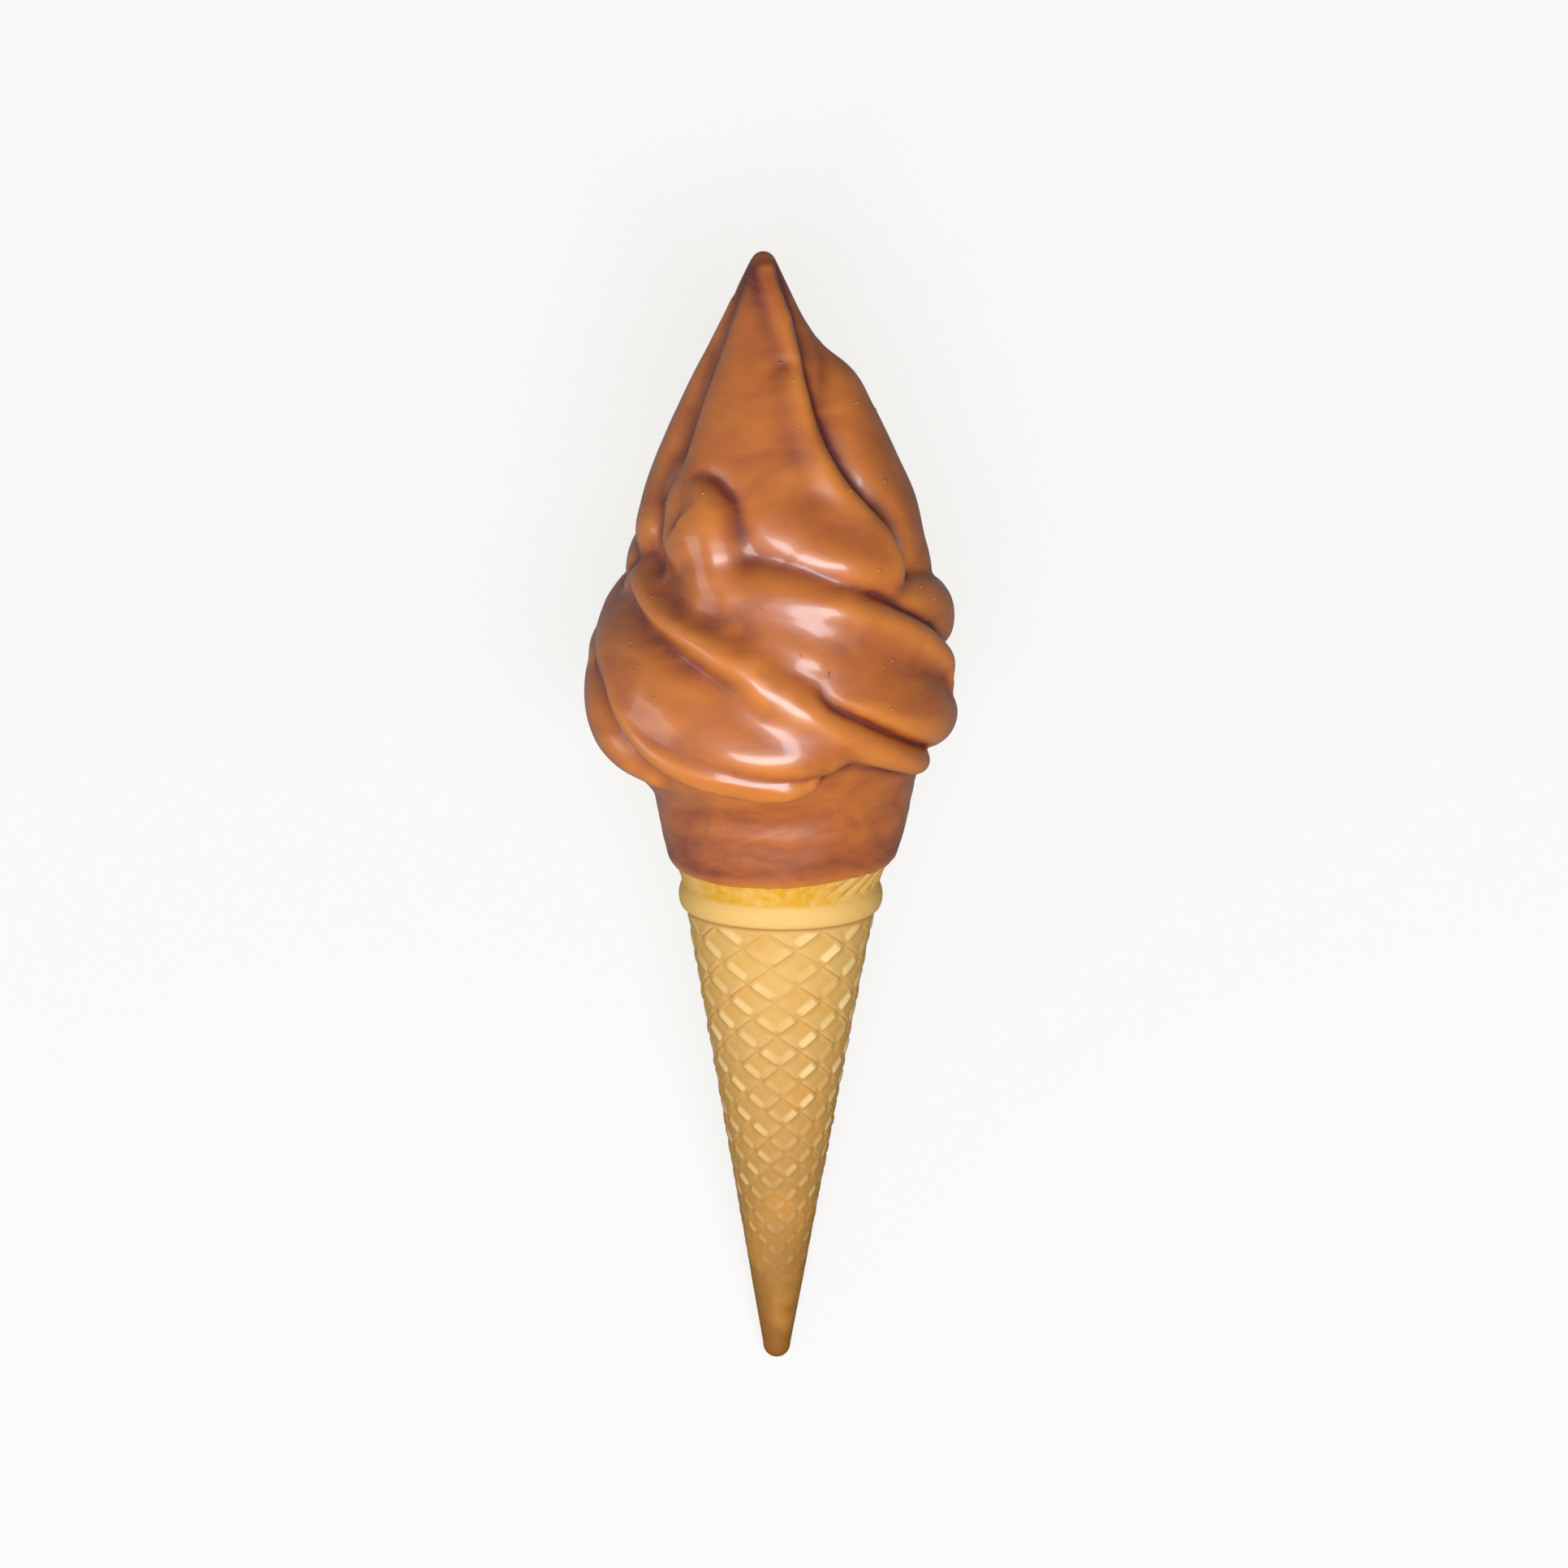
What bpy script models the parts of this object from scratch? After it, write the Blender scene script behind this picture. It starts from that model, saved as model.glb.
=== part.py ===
"""A chocolate-dipped soft-serve ice cream in a moulded wafer cone, lying on its back.

Each piece is modelled upright and in millimetres: the wafer's tip at the origin, the cone's axis along +Z
and the shown side toward -Y. An empty then lays the pieces down and scales them to metres: they rest on the
tip and on the back of the swirl, and the shown side faces up. Angles round the axis are in degrees, 0 at
the shown side and growing to the right.
"""

import math

import bmesh
import bpy
import numpy as np

MM = 0.001

# The whole cone
LYING_ANGLE = 14.0  # slope of the axis when the cone lies down
TIP_FLAT = 0.15  # how much the ground takes off the tip
GAP = 0.3  # clearance between the wafer and the dipped swirl

# Wafer: a blunt tip, a slim stem, a round ring and a flared collar
TIP_RADIUS = 2.8
STEM_TAPER = 0.181  # radius gained for each millimetre of height
STEM_TOP = 96.4
RING_HEIGHT = 100.5
RING_RADIUS = 21.4
RING_HALF_HEIGHT = 3.3
RING_BULGE = 1.9
UNDERCUT = 0.45  # depth of the narrow groove under the ring
UNDERCUT_WIDTH = 0.5
COLLAR_FOOT = 104.2
COLLAR_FOOT_RADIUS = 20.9
COLLAR_TOP = 110.4
COLLAR_TOP_RADIUS = 23.3
PROFILE_STEP = 0.8
WAFER_STEPS = 180
WAFER_TRIANGLES = 3400

# Lattice of sunken lozenges on the stem: its rows come closer toward the tip
LOZENGES_ROUND = 10
LATTICE_TOP = 96.9  # height of the first row of crossings
FIRST_PITCH = 8.3  # distance from the first row to the second, about
PITCH_LOSS = 0.165  # half of what each row loses to the one above
LATTICE_TURN = -8.9  # angle of the crossing nearest the front in the first row
ROW_TURN = 2.35  # what each row turns further
LATTICE_DEPTH = 0.5
RAMP_SHARE = 0.3  # part of a lozenge under its slanted lower wall
STEP_SHARE = 0.18  # part under its steep upper wall
FADE_START = 6.0  # row where the pattern starts to fade
FADE_END = 12.6

# Dipped swirl
DIP_HEIGHT = 107.2  # where the chocolate coat ends on the collar, about
DIP_ROUNDING = 0.8
SCALLOP_TURN = 62.0  # where the flutes of the collar scallop the coat's edge most
SCALLOP_WIDTH = 26.0
SCALLOP_DEPTH = 0.3
FLUTES_ROUND = 28
PEAK_HEIGHT = 236.2
PEAK_RADIUS = 2.6
PEAK_SHIFT = -4.8
TABLE_STEP = 0.25
FOLD_SAMPLES = 160
FAR = 9.0  # a distance from which a fold is no longer worked out
SWIRL_TRIANGLES = 5600


def through_stations(knots, values, at):
    """A smooth curve through the values, one row for each knot."""
    slope = np.gradient(values, knots, axis=0)
    i = np.clip(np.searchsorted(knots, at, side="right") - 1, 0, len(knots) - 2)
    gap = (knots[i + 1] - knots[i])[:, None]
    t = (at - knots[i])[:, None] / gap
    rise = 3 * t**2 - 2 * t**3
    leave = (t**3 - 2 * t**2 + t) * gap * slope[i]
    arrive = (t**3 - t**2) * gap * slope[i + 1]
    return (1 - rise) * values[i] + rise * values[i + 1] + leave + arrive


# The body that the folds lie on: height, radius, and shift to the right
BODY = np.array(
    (
        (100, 20.8, 0),
        (106, 22.8, 0),
        (112, 24.7, 0.2),
        (118, 26.2, 0.4),
        (123, 27.2, 0.2),
        (129, 30.6, -1.6),
        (137, 34.6, -2.2),
        (147, 36, -2.6),
        (157, 35, -2.4),
        (166, 31.6, -1.6),
        (176, 28.2, -1.4),
        (188, 25, -1.4),
        (202, 19.6, -2.2),
        (214, 13.8, -3.2),
        (224, 8.4, -4.4),
        (231, 5.4, -4.8),
        (239, 1.6, -4.8),
    ),
    float,
)
BODY_HEIGHTS = np.arange(BODY[0, 0] - 6, BODY[-1, 0] + 6, TABLE_STEP)
BODY_RADII, BODY_SHIFTS = through_stations(
    BODY[:, 0], BODY[:, 1:], np.clip(BODY_HEIGHTS, BODY[0, 0], BODY[-1, 0])
).T
BODY_SLOPES = np.gradient(BODY_RADII, BODY_HEIGHTS)


def body_at(height):
    """The body's radius, its shift to the right, and how fast the radius grows."""
    return (
        np.interp(height, BODY_HEIGHTS, BODY_RADII),
        np.interp(height, BODY_HEIGHTS, BODY_SHIFTS),
        np.interp(height, BODY_HEIGHTS, BODY_SLOPES),
    )


# The edge of the coat round the collar: angle and height
DIP_EDGE = np.array(
    (
        (-180, 107.9),
        (-130, 107.6),
        (-90, 107.1),
        (-55, 106.8),
        (-20, 106.7),
        (0, 106.9),
        (20, 107.4),
        (50, 108.2),
        (90, 108.3),
        (130, 108.1),
        (180, 107.9),
    ),
    float,
)


def dip_edge(points):
    """The height at which the coat ends round the collar, scalloped where it ran down the flutes."""
    angle = np.degrees(np.arctan2(points[:, 0], -points[:, 1]))
    height = through_stations(DIP_EDGE[:, 0], DIP_EDGE[:, 1:], angle)[:, 0]
    scallop = np.exp(-(((angle - SCALLOP_TURN) / SCALLOP_WIDTH) ** 2)) * SCALLOP_DEPTH
    return height + scallop * np.cos(np.radians(angle) * FLUTES_ROUND)


def body_point(angle, height):
    """The point of the body at an angle, in radians, and a height."""
    radius, shift, _ = body_at(height)
    return np.stack(
        [shift + radius * np.sin(angle), -radius * np.cos(angle), height], axis=1
    )


def over_body(points):
    """How far each point lies outside the body, and the point of the body under it."""
    height = points[:, 2]
    for _ in range(2):
        radius, shift, slope = body_at(height)
        out = np.hypot(points[:, 0] - shift, points[:, 1])
        stretch = np.sqrt(1 + slope**2)
        over = (out - radius - slope * (points[:, 2] - height)) / stretch
        height = points[:, 2] + over * slope / stretch
    radius, shift, _ = body_at(height)
    scale = radius / np.maximum(np.hypot(points[:, 0] - shift, points[:, 1]), 1e-6)
    foot = np.stack(
        [shift + (points[:, 0] - shift) * scale, points[:, 1] * scale, height], axis=1
    )
    peak = np.linalg.norm(points - (PEAK_SHIFT, 0, PEAK_HEIGHT), axis=1) - PEAK_RADIUS
    over = np.where(points[:, 2] > PEAK_HEIGHT + 1, np.maximum(peak, over), over)
    return over, foot


def spread(values):
    """The values laid out evenly along a fold."""
    share = np.linspace(0, 1, FOLD_SAMPLES)
    return np.interp(share, np.linspace(0, 1, len(values)), values)


class Fold:
    """A long soft fold on the body, or a groove in it.

    Each station gives an angle, a height, how far the fold stands proud of the body (or how deep the groove
    is) and its half width. A section's power is 2 for an ellipse and more for a squarer one, and its lean
    tips it toward one edge. Its blend rounds the valley beside it, with values spread from its start to its
    end, and upper_blend does so on the left of its way, the upper side of a fold that runs to the right.
    """

    def __init__(
        self, stations, thickness=5.0, blend=(1.0, 1.0), upper_blend=None, lean=0.0, power=2.0
    ):
        stations = np.array(stations, float)
        stations[:, 0] = np.radians(stations[:, 0])
        steps = np.diff(body_point(stations[:, 0], stations[:, 1]), axis=0)
        knots = np.append(0, np.cumsum(np.linalg.norm(steps, axis=1)))
        at = np.linspace(0, knots[-1], FOLD_SAMPLES)
        angle, height, proud, half_width = through_stations(knots, stations, at).T
        self.middle = body_point(angle, height)
        slope = body_at(height)[2]
        outward = np.stack([np.sin(angle), -np.cos(angle), -slope], axis=1)
        along = np.gradient(self.middle, axis=0)
        along /= np.linalg.norm(along, axis=1)[:, None]
        lower = spread(blend)
        upper = spread(upper_blend or blend)
        half_width = np.maximum(half_width, 0.3)
        self.rows = np.column_stack(
            [self.middle, along, np.cross(along, outward), proud, half_width, lower, upper]
        )
        self.thickness = thickness
        self.lean = math.radians(lean)
        self.power = power
        reach = half_width.max() + 4
        self.low = self.middle.min(axis=0) - reach
        self.high = self.middle.max(axis=0) + reach

    def near_points(self, foot):
        """Which points are near the fold, how far across and past its end each is, and its sizes there."""
        near = np.flatnonzero(((foot > self.low) & (foot < self.high)).all(axis=1))
        sample = np.empty(len(near), int)
        size = (self.middle**2).sum(axis=1)
        for start in range(0, len(near), 20000):
            some = slice(start, start + 20000)
            sample[some] = np.argmin(size - 2 * foot[near[some]] @ self.middle.T, axis=1)
        sample = np.clip(sample, 1, FOLD_SAMPLES - 2)
        before, at, after = (
            ((foot[near] - self.middle[sample + i]) ** 2).sum(axis=1) for i in (-1, 0, 1)
        )
        place = sample + np.clip(0.5 * (before - after) / (before - 2 * at + after), -1, 1)
        first = np.minimum(place.astype(int), FOLD_SAMPLES - 2)
        share = (place - first)[:, None]
        row = self.rows[first] * (1 - share) + self.rows[first + 1] * share
        away = foot[near] - row[:, :3]
        ahead = (away * row[:, 3:6]).sum(axis=1)
        sideways = away - ahead[:, None] * row[:, 3:6]
        across = np.linalg.norm(sideways, axis=1) * np.sign((away * row[:, 6:9]).sum(axis=1))
        past = np.where((place <= 0) | (place >= FOLD_SAMPLES - 1), ahead, 0)
        return near, across, past, *row[:, 9:].T

    def distance(self, over, foot):
        """About how far each point lies outside the fold, and the blend there."""
        distance = np.full(len(foot), FAR)
        blend = np.ones(len(foot))
        near, across, past, proud, width, lower, upper = self.near_points(foot)
        rise = over[near] - (proud - self.thickness)
        tip, turn = math.cos(self.lean), math.sin(self.lean)
        x = np.abs(across * tip + rise * turn) / width
        y = np.abs(rise * tip - across * turn) / self.thickness
        z = np.abs(past) / width
        power = self.power
        size = np.maximum((x**power + y**power + z**power) ** (1 / power), 0.05)
        pull = (x ** (power - 1) / width) ** 2 + (z ** (power - 1) / width) ** 2
        pull += (y ** (power - 1) / self.thickness) ** 2
        pull = np.sqrt(pull) / size ** (power - 1)
        distance[near] = (size - 1) / np.maximum(pull, 1e-3)
        below = np.clip(0.5 + 0.5 * across / width, 0, 1)
        blend[near] = upper + below * (lower - upper)
        return distance, blend

    def depth(self, foot):
        """How much the groove takes away at each point."""
        taken = np.zeros(len(foot))
        near, across, past, deepest, width, _, _ = self.near_points(foot)
        taken[near] = deepest * np.exp(-(across**2 + past**2) / width**2)
        return taken


def rear_turn(right_height, left_height, proud, half_width):
    """A turn of the swirl round the hidden side, where each turn sinks toward the left."""
    stations = []
    for share in np.linspace(0, 1, 6):
        bow = math.sin(math.pi * (0.1 + 0.8 * share))
        angle = 94 + 176 * share
        height = right_height + (left_height - right_height) * share
        stations.append((angle, height, proud * bow**0.6, half_width * (0.75 + 0.25 * bow)))
    return Fold(stations, thickness=7.5, blend=(0.9, 0.9))


FOLDS = {
    "front_flap": Fold(
        (
            (-6, 236, 0.6, 3.2),
            (-7, 226, 1.7, 6.8),
            (-13, 214, 2.5, 11.2),
            (-13, 204, 3.1, 15.4),
            (-10, 194, 3.7, 18.8),
            (-5, 187, 3.4, 20.8),
            (-1, 180, 2.2, 21.0),
        ),
        thickness=5.0,
        blend=(0.8, 1.4),
        power=3.0,
    ),
    "flap_right_edge": Fold(
        (
            (8, 235, 0.8, 1.6),
            (20, 228, 2.2, 2.0),
            (24, 219, 3.4, 2.6),
            (20, 211, 4.0, 3.2),
            (20, 205, 4.3, 3.4),
            (23, 199, 4.6, 3.6),
            (28, 193.5, 4.8, 4.0),
            (37, 187.5, 5.3, 4.4),
            (44.5, 182.5, 5.6, 4.8),
            (47.5, 178, 5.6, 4.8),
            (45, 173, 4.6, 4.8),
        ),
        thickness=6.0,
        blend=(2.5, 4.0),
    ),
    "peak_ridge": Fold(
        (
            (12, 235.4, 1.2, 1.2),
            (20, 230, 2.2, 1.6),
            (24, 225, 3.0, 1.7),
            (25, 220, 3.0, 1.6),
            (24, 215, 2.4, 1.4),
        ),
        thickness=4.0,
        blend=(2.0, 2.0),
    ),
    "flap_hem": Fold(
        (
            (-4, 186.0, 2.4, 5.4),
            (4, 183.6, 4.2, 6.8),
            (13, 181.2, 5.7, 7.6),
            (24, 178.8, 6.8, 7.8),
            (35, 176.8, 7.2, 7.4),
            (46, 174.8, 6.2, 6.4),
        ),
        thickness=8.0,
        blend=(8.0, 2.5, 0.8, 0.6, 0.6),
        upper_blend=(7.0, 6.0),
    ),
    "left_cheek": Fold(
        (
            (-60, 190.5, 1.0, 6.0),
            (-51, 188.4, 3.0, 8.0),
            (-43, 185.4, 4.7, 9.0),
            (-37, 180.6, 5.0, 9.0),
            (-32, 174.6, 3.8, 8.0),
        ),
        thickness=9.0,
        blend=(5.0, 6.0),
    ),
    "knuckle": Fold(
        (
            (-46, 190.6, 1.4, 3.6),
            (-38.5, 190.6, 3.6, 4.4),
            (-33, 189.6, 5.4, 5.0),
            (-29, 187.4, 6.8, 5.2),
            (-26, 184.2, 7.1, 5.0),
            (-23.4, 180.2, 6.4, 4.8),
            (-21.4, 176.0, 5.0, 4.6),
            (-20, 172.0, 3.4, 4.2),
        ),
        thickness=7.0,
        blend=(6.0, 8.0, 6.0),
        upper_blend=(2.0, 3.0, 4.5),
    ),
    "upper_turn": Fold(
        (
            (-50, 171.4, 1.8, 6.0),
            (-30, 168.6, 3.2, 7.4),
            (-12, 165.6, 4.2, 8.2),
            (6, 162, 4.2, 8.8),
            (22, 158.6, 3.8, 8.8),
            (38, 154.6, 3.2, 8.2),
            (52, 151, 2.8, 7.4),
            (66, 147.6, 2.4, 6.6),
        ),
        thickness=8.0,
        blend=(4.0, 4.0),
    ),
    "upper_turn_crest": Fold(
        (
            (-28, 172.6, 2.2, 4.8),
            (-12, 173.2, 4.2, 5.4),
            (4, 172.2, 5.6, 5.8),
            (18, 169.8, 6.2, 5.8),
            (34, 166.0, 6.1, 5.6),
            (50, 161.6, 5.6, 5.0),
            (64, 157.2, 5.1, 4.4),
            (74, 152.8, 4.4, 3.8),
            (78, 148.6, 3.0, 3.4),
        ),
        thickness=7.0,
        blend=(6.0, 6.0, 6.0, 4.0, 2.0),
        upper_blend=(5.0, 2.0, 0.8, 1.2),
    ),
    "right_lobe": Fold(
        (
            (14, 149.6, 2.6, 4.6),
            (32, 147.8, 3.8, 6.0),
            (48, 145, 4.4, 7.0),
            (64, 142.4, 4.6, 7.4),
            (82, 140.8, 4.0, 7.2),
            (98, 140, 2.4, 7.0),
        ),
        thickness=8.0,
        blend=(2.0, 1.2),
        upper_blend=(5.0, 4.0),
    ),
    "right_shoulder": Fold(
        (
            (32, 171, 1.4, 3.6),
            (44, 170.4, 2.6, 4.6),
            (56, 168.8, 3.6, 5.8),
            (69, 166.8, 4.3, 7.0),
            (86, 163, 4.8, 7.8),
            (104, 159.5, 3.6, 8.0),
        ),
        thickness=6.0,
        blend=(1.2, 1.0),
        upper_blend=(3.0, 1.2),
    ),
    "lower_turn": Fold(
        (
            (-90, 160, 1.8, 8.0),
            (-68, 156.4, 3.4, 9.4),
            (-50, 152.4, 4.4, 10.0),
            (-32, 148.4, 4.3, 10.0),
            (-14, 145.2, 3.8, 9.4),
            (4, 142.8, 3.3, 8.0),
            (16, 141, 2.8, 6.4),
        ),
        thickness=9.0,
        blend=(3.0, 3.0),
    ),
    "lower_turn_swell": Fold(
        (
            (-44, 146, 3.4, 4.6),
            (-32, 142.8, 4.6, 5.0),
            (-18, 140.2, 5.7, 5.0),
            (-4, 138.9, 6.3, 4.8),
            (8, 138.6, 5.9, 4.6),
            (18, 138.8, 4.2, 4.2),
        ),
        thickness=6.0,
        blend=(3.0, 3.0),
        upper_blend=(5.0, 5.0),
    ),
    "middle_ridge": Fold(
        (
            (-84, 169, 0.8, 2.6),
            (-73, 171.4, 2.2, 3.2),
            (-62, 169.9, 3.3, 3.2),
            (-46, 166.2, 4.4, 3.1),
            (-34, 163.8, 4.9, 3.1),
            (-20, 161.0, 5.3, 3.4),
            (-9, 157.8, 5.4, 4.0),
            (0, 153.8, 5.4, 4.6),
            (10, 149.2, 5.3, 4.8),
            (20, 145, 5.2, 4.5),
            (33, 141, 4.9, 4.2),
            (46, 137.8, 4.7, 3.9),
            (60, 134.8, 4.2, 3.6),
            (72, 133, 2.4, 3.0),
        ),
        thickness=6.0,
        blend=(3.0, 4.0, 5.0, 6.0, 5.0, 1.5, 0.7),
        upper_blend=(3.0, 4.5, 4.5, 4.5, 1.6, 0.5, 0.5),
        lean=-10.0,
    ),
    "left_pouch": Fold(
        (
            (-106, 151, 2.0, 7.0),
            (-90, 145, 3.0, 9.0),
            (-77, 139, 3.8, 9.4),
            (-66, 134.5, 3.6, 8.0),
            (-54, 130.5, 2.0, 5.6),
        ),
        thickness=8.0,
        blend=(2.0, 2.0),
    ),
    "bottom_lip": Fold(
        (
            (-84, 161, 0.8, 2.6),
            (-70, 157.2, 3.0, 3.2),
            (-58, 152.4, 4.6, 3.6),
            (-49.5, 146, 5.6, 3.9),
            (-39, 140.5, 6.5, 4.1),
            (-25, 137.0, 7.4, 4.1),
            (-10, 135.3, 7.9, 4.0),
            (1, 134.6, 7.5, 3.9),
            (7, 134.5, 6.6, 3.7),
            (12, 134.8, 5.0, 3.3),
        ),
        thickness=7.0,
        blend=(1.0, 0.4),
        upper_blend=(2.0, 4.0, 2.5, 1.0),
        lean=-8.0,
    ),
    "right_rear_lobe": Fold(
        (
            (88, 219, 0.2, 3.0),
            (82, 212.8, 3.0, 8.5),
            (76, 205, 3.2, 12.0),
            (73, 194, 3.4, 15.5),
            (75, 184, 3.9, 16.5),
            (80, 176, 3.6, 12.0),
        ),
        thickness=6.0,
        blend=(1.5, 1.0),
    ),
    "left_rear_lobe": Fold(
        (
            (-84, 228, 0.4, 3.0),
            (-88, 214, 1.4, 6.0),
            (-86, 204, 2.0, 8.0),
            (-84, 192, 2.8, 9.0),
            (-80, 182, 3.2, 8.5),
        ),
        thickness=6.0,
        blend=(0.8, 1.5),
    ),
    "rear_crown": rear_turn(208, 193, 2.8, 7.2),
    "rear_upper_turn": rear_turn(195, 172, 3.8, 8.0),
    "rear_second_turn": rear_turn(180, 161, 4.0, 7.4),
    "rear_third_turn": rear_turn(163, 152, 4.4, 8.4),
    "rear_bottom_turn": rear_turn(141, 140, 1.9, 8.4),
}
GROOVES = {
    "over_knuckle": Fold(
        (
            (-44, 193.4, 0.2, 1.8),
            (-37, 194.4, 0.6, 2.0),
            (-31, 194.0, 1.1, 2.2),
            (-25.5, 192.2, 1.3, 2.4),
            (-21, 189.4, 1.2, 2.8),
            (-18, 185.4, 0.9, 3.0),
            (-16, 181, 0.5, 3.0),
            (-15, 177, 0.2, 2.8),
        ),
    ),
    "over_middle_ridge": Fold(
        (
            (-68, 177, 0.6, 2.6),
            (-54, 173.2, 1.6, 3.6),
            (-42, 170.6, 1.8, 4.2),
            (-28, 168, 1.3, 4.4),
            (-12, 164.6, 0.5, 4.4),
        ),
    ),
    "beside_flap": Fold(
        (
            (34, 224, 0.2, 1.2),
            (32, 214, 0.8, 1.8),
            (30, 207, 1.0, 2.2),
            (33.5, 200, 1.1, 2.6),
            (39, 194, 1.2, 2.8),
            (47, 189.2, 1.5, 2.8),
            (54.5, 184.6, 2.0, 2.6),
            (58, 179.6, 2.4, 2.4),
            (58.5, 174, 1.2, 2.0),
        ),
    ),
    "upper_turn_hollow": Fold(
        (
            (16, 159, 0.2, 3.6),
            (32, 156.6, 0.6, 4.6),
            (48, 153, 0.7, 4.6),
            (60, 150.4, 0.4, 4.0),
            (69, 149, 0.1, 3.0),
        ),
    ),
    "tongue_crease": Fold(
        (
            (14, 153.4, 0.1, 1.2),
            (18, 150.4, 0.8, 1.2),
            (27, 147.3, 1.2, 1.2),
            (38, 143.8, 1.2, 1.3),
            (52, 139.6, 1.2, 1.3),
            (66, 136.6, 1.0, 1.2),
        ),
    ),
    "peak_dimple": Fold(
        (
            (-6, 213.6, 0.1, 1.6),
            (3, 215.4, 0.3, 1.8),
            (12, 216.4, 0.5, 2.0),
            (20, 216.2, 0.5, 2.0),
            (27, 215, 0.2, 1.6),
        ),
    ),
}


def smooth_min(a, b, blend):
    share = np.clip(0.5 + 0.5 * (b - a) / blend, 0, 1)
    return b + (a - b) * share - blend * share * (1 - share)


def swirl_distance(points):
    """About how far each point lies outside the dipped swirl."""
    over, foot = over_body(points)
    distance = over
    for fold in FOLDS.values():
        distance = smooth_min(distance, *fold.distance(over, foot))
    for groove in GROOVES.values():
        distance = distance + groove.depth(foot)
    below = dip_edge(points) - points[:, 2]
    return -smooth_min(-distance, -below, 2 * DIP_ROUNDING)


def get_points(mesh):
    flat = np.empty(len(mesh.vertices) * 3, np.float32)
    mesh.vertices.foreach_get("co", flat)
    return flat.reshape(-1, 3).astype(float)


def set_points(mesh, points):
    mesh.vertices.foreach_set("co", points.astype(np.float32).ravel())
    mesh.update()


def keep_result(obj):
    """Makes the result of the object's modifiers its mesh."""
    graph = bpy.context.evaluated_depsgraph_get()
    result = bpy.data.meshes.new_from_object(obj.evaluated_get(graph))
    obj.modifiers.clear()
    obj.data = result


def remesh(obj, size):
    modifier = obj.modifiers.new("remesh", "REMESH")
    modifier.mode = "VOXEL"
    modifier.voxel_size = size
    keep_result(obj)


def settle(obj, passes):
    """Slides the points along their normals until they lie on the swirl's surface."""
    mesh = obj.data
    for _ in range(passes):
        points = get_points(mesh)
        normals = np.empty(len(points) * 3, np.float32)
        mesh.vertex_normals.foreach_get("vector", normals)
        step = np.clip(swirl_distance(points), -1.5, 1.5) * 0.9
        set_points(mesh, points - step[:, None] * normals.reshape(-1, 3))


def decimate(obj, triangles):
    mesh = obj.data
    mesh.calc_loop_triangles()
    modifier = obj.modifiers.new("decimate", "DECIMATE")
    modifier.ratio = triangles / len(mesh.loop_triangles)
    keep_result(obj)


def new_object(name, mesh, collection):
    obj = bpy.data.objects.new(name, mesh)
    collection.objects.link(obj)
    return obj


def material(name, colour, roughness):
    made = bpy.data.materials.new(name)
    made.use_nodes = True
    shader = made.node_tree.nodes["Principled BSDF"]
    shader.inputs["Base Color"].default_value = (*colour, 1)
    shader.inputs["Roughness"].default_value = roughness
    shader.inputs["Metallic"].default_value = 0
    return made


def turned(name, profile, steps, collection):
    """A solid of revolution from a profile of (radius, height), listed from the top down."""
    mesh = bpy.data.meshes.new(name)
    edges = [(i, i + 1) for i in range(len(profile) - 1)]
    mesh.from_pydata([(radius, 0, height) for radius, height in profile], edges, [])
    obj = new_object(name, mesh, collection)
    screw = obj.modifiers.new("turn", "SCREW")
    screw.steps = steps
    screw.render_steps = steps
    screw.use_merge_vertices = True
    screw.merge_threshold = 0.0001
    keep_result(obj)
    return obj


def blank_swirl(collection):
    """An egg a little larger than the swirl, for the points to settle from."""
    mesh = bpy.data.meshes.new("dipped_swirl")
    maker = bmesh.new()
    bmesh.ops.create_uvsphere(maker, u_segments=64, v_segments=48, radius=1)
    bottom, top = DIP_HEIGHT - 2, PEAK_HEIGHT + 4
    for vertex in maker.verts:
        share = 0.5 + math.asin(max(-1, min(1, vertex.co.z))) / math.pi
        height = bottom + (top - bottom) * share
        radius, shift, _ = body_at(height)
        side = vertex.co.xy.normalized() * min(radius + 3, 60 * share, 60 * (1 - share))
        vertex.co = (shift + side.x, side.y, height)
    maker.to_mesh(mesh)
    maker.free()
    return new_object("dipped_swirl", mesh, collection)


def dipped_swirl(collection):
    """Soft serve with its chocolate coat: folds and turns on a drop-shaped body."""
    obj = blank_swirl(collection)
    for size, passes in ((2.0, 6), (1.4, 4), (1.0, 5)):
        remesh(obj, size)
        settle(obj, passes)
    smooth = obj.modifiers.new("smooth", "SMOOTH")
    smooth.iterations = 2
    keep_result(obj)
    settle(obj, 1)
    decimate(obj, SWIRL_TRIANGLES)
    obj.data.materials.append(material("milk_chocolate_coat", (0.42, 0.16, 0.045), 0.3))
    return obj


def wafer_radius(height):
    """The wafer's radius, before the lattice is pressed in."""
    if height < TIP_RADIUS * (1 - STEM_TAPER):
        return math.sqrt(max(TIP_RADIUS**2 - (TIP_RADIUS - height) ** 2, 0))
    stem_top = TIP_RADIUS + STEM_TAPER * (STEM_TOP - TIP_RADIUS)
    heights = (TIP_RADIUS, STEM_TOP, COLLAR_FOOT, COLLAR_TOP)
    radii = (TIP_RADIUS, stem_top, COLLAR_FOOT_RADIUS, COLLAR_TOP_RADIUS)
    radius = float(np.interp(height, heights, radii))
    across = (height - RING_HEIGHT) / RING_HALF_HEIGHT
    if abs(across) < 1:
        ring = RING_RADIUS - RING_BULGE * (1 - math.sqrt(1 - across**2))
        radius = max(radius, ring)
    under_ring = (height - RING_HEIGHT + RING_HALF_HEIGHT) / UNDERCUT_WIDTH
    return radius - UNDERCUT * math.exp(-(under_ring**2))


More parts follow.
